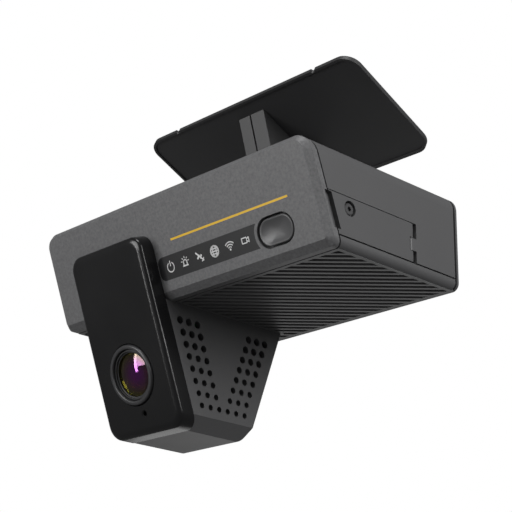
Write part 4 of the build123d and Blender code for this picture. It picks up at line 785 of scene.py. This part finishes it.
# ---------------------------------------------------------------------------------------------
# Studio: a pale floor well below that shows but throws no light up, a white surround that only the
# camera sees, and softboxes in front, at the side, above and low behind, with one strip for the lens.
# ---------------------------------------------------------------------------------------------
FLOOR_Z = -0.9
OBJECT_MIDDLE = Vector((0.0, -0.03, -0.06))
HALF = 6.0
floor_mesh = bpy.data.meshes.new("floor")
floor_mesh.from_pydata([(-HALF, -HALF, FLOOR_Z), (HALF, -HALF, FLOOR_Z), (HALF, HALF, FLOOR_Z),
                        (-HALF, HALF, FLOOR_Z)], [], [(0, 1, 2, 3)])
floor = bpy.data.objects.new("floor", floor_mesh)
floor.visible_diffuse = False
floor.visible_glossy = False
floor.visible_transmission = False
bpy.context.collection.objects.link(floor)
pale, tree, shader = surface("pale_floor")
shader.inputs["Base Color"].default_value = (0.75, 0.75, 0.75, 1)
shader.inputs["Roughness"].default_value = 0.9
shader.inputs["Emission Color"].default_value = (1, 1, 1, 1)
shader.inputs["Emission Strength"].default_value = 0.6
floor_mesh.materials.append(pale)

world = bpy.data.worlds.new("studio")
bpy.context.scene.world = world
world.use_nodes = True
tree = world.node_tree
tree.nodes.clear()
seen = tree.nodes.new("ShaderNodeBackground")
seen.inputs["Color"].default_value = (1, 1, 1, 1)
ambient = tree.nodes.new("ShaderNodeBackground")
ambient.inputs["Color"].default_value = (1, 1, 1, 1)
ambient.inputs["Strength"].default_value = 0.13
ray = tree.nodes.new("ShaderNodeLightPath")
mix = tree.nodes.new("ShaderNodeMixShader")
out = tree.nodes.new("ShaderNodeOutputWorld")
tree.links.new(ray.outputs["Is Camera Ray"], mix.inputs[0])
tree.links.new(ambient.outputs[0], mix.inputs[1])
tree.links.new(seen.outputs[0], mix.inputs[2])
tree.links.new(mix.outputs[0], out.inputs[0])


def softbox(name, towards, away, size, brightness, tall=None):
    """An area light in one direction from the object's middle, facing it."""
    data = bpy.data.lights.new(name, "AREA")
    data.shape = "RECTANGLE"
    data.size = size
    data.size_y = tall or size
    data.energy = brightness * math.pi * data.size * data.size_y
    lamp = bpy.data.objects.new(name, data)
    lamp.location = OBJECT_MIDDLE + Vector(towards).normalized() * away
    lamp.rotation_euler = (-Vector(towards)).to_track_quat("-Z", "Y").to_euler()
    lamp.visible_camera = False
    bpy.context.collection.objects.link(lamp)


softbox("front_softbox", (-0.20, -0.97, 0.12), 0.8, 0.45, 5.3)
softbox("side_softbox", (0.95, 0.02, 0.27), 1.1, 0.62, 7.7)
softbox("low_softbox", (-0.50, 0.66, -0.50), 0.6, 0.38, 0.7)
softbox("top_softbox", (0.25, -0.40, 0.90), 1.1, 0.4, 9.0)
softbox("lens_strip", (-0.50, -0.84, -0.02), 1.0, 0.11, 9.0, 0.5)

# The camera stands low on the driver's right and looks up at the underside.
lens = bpy.data.cameras.new("camera")
lens.lens = 100.1
lens.sensor_width = 36.0
lens.clip_start = 0.01
camera = bpy.data.objects.new("camera", lens)
camera.location = (0.33273, -0.33124, -0.21787)
sight = Vector((-0.67906, 0.64744, 0.34598))
roll = Matrix.Rotation(math.radians(1.01), 3, "Z").to_quaternion()
camera.rotation_mode = "QUATERNION"
camera.rotation_quaternion = sight.to_track_quat("-Z", "Y") @ roll
bpy.context.collection.objects.link(camera)
bpy.context.scene.camera = camera
bpy.context.scene.view_settings.view_transform = "Standard"
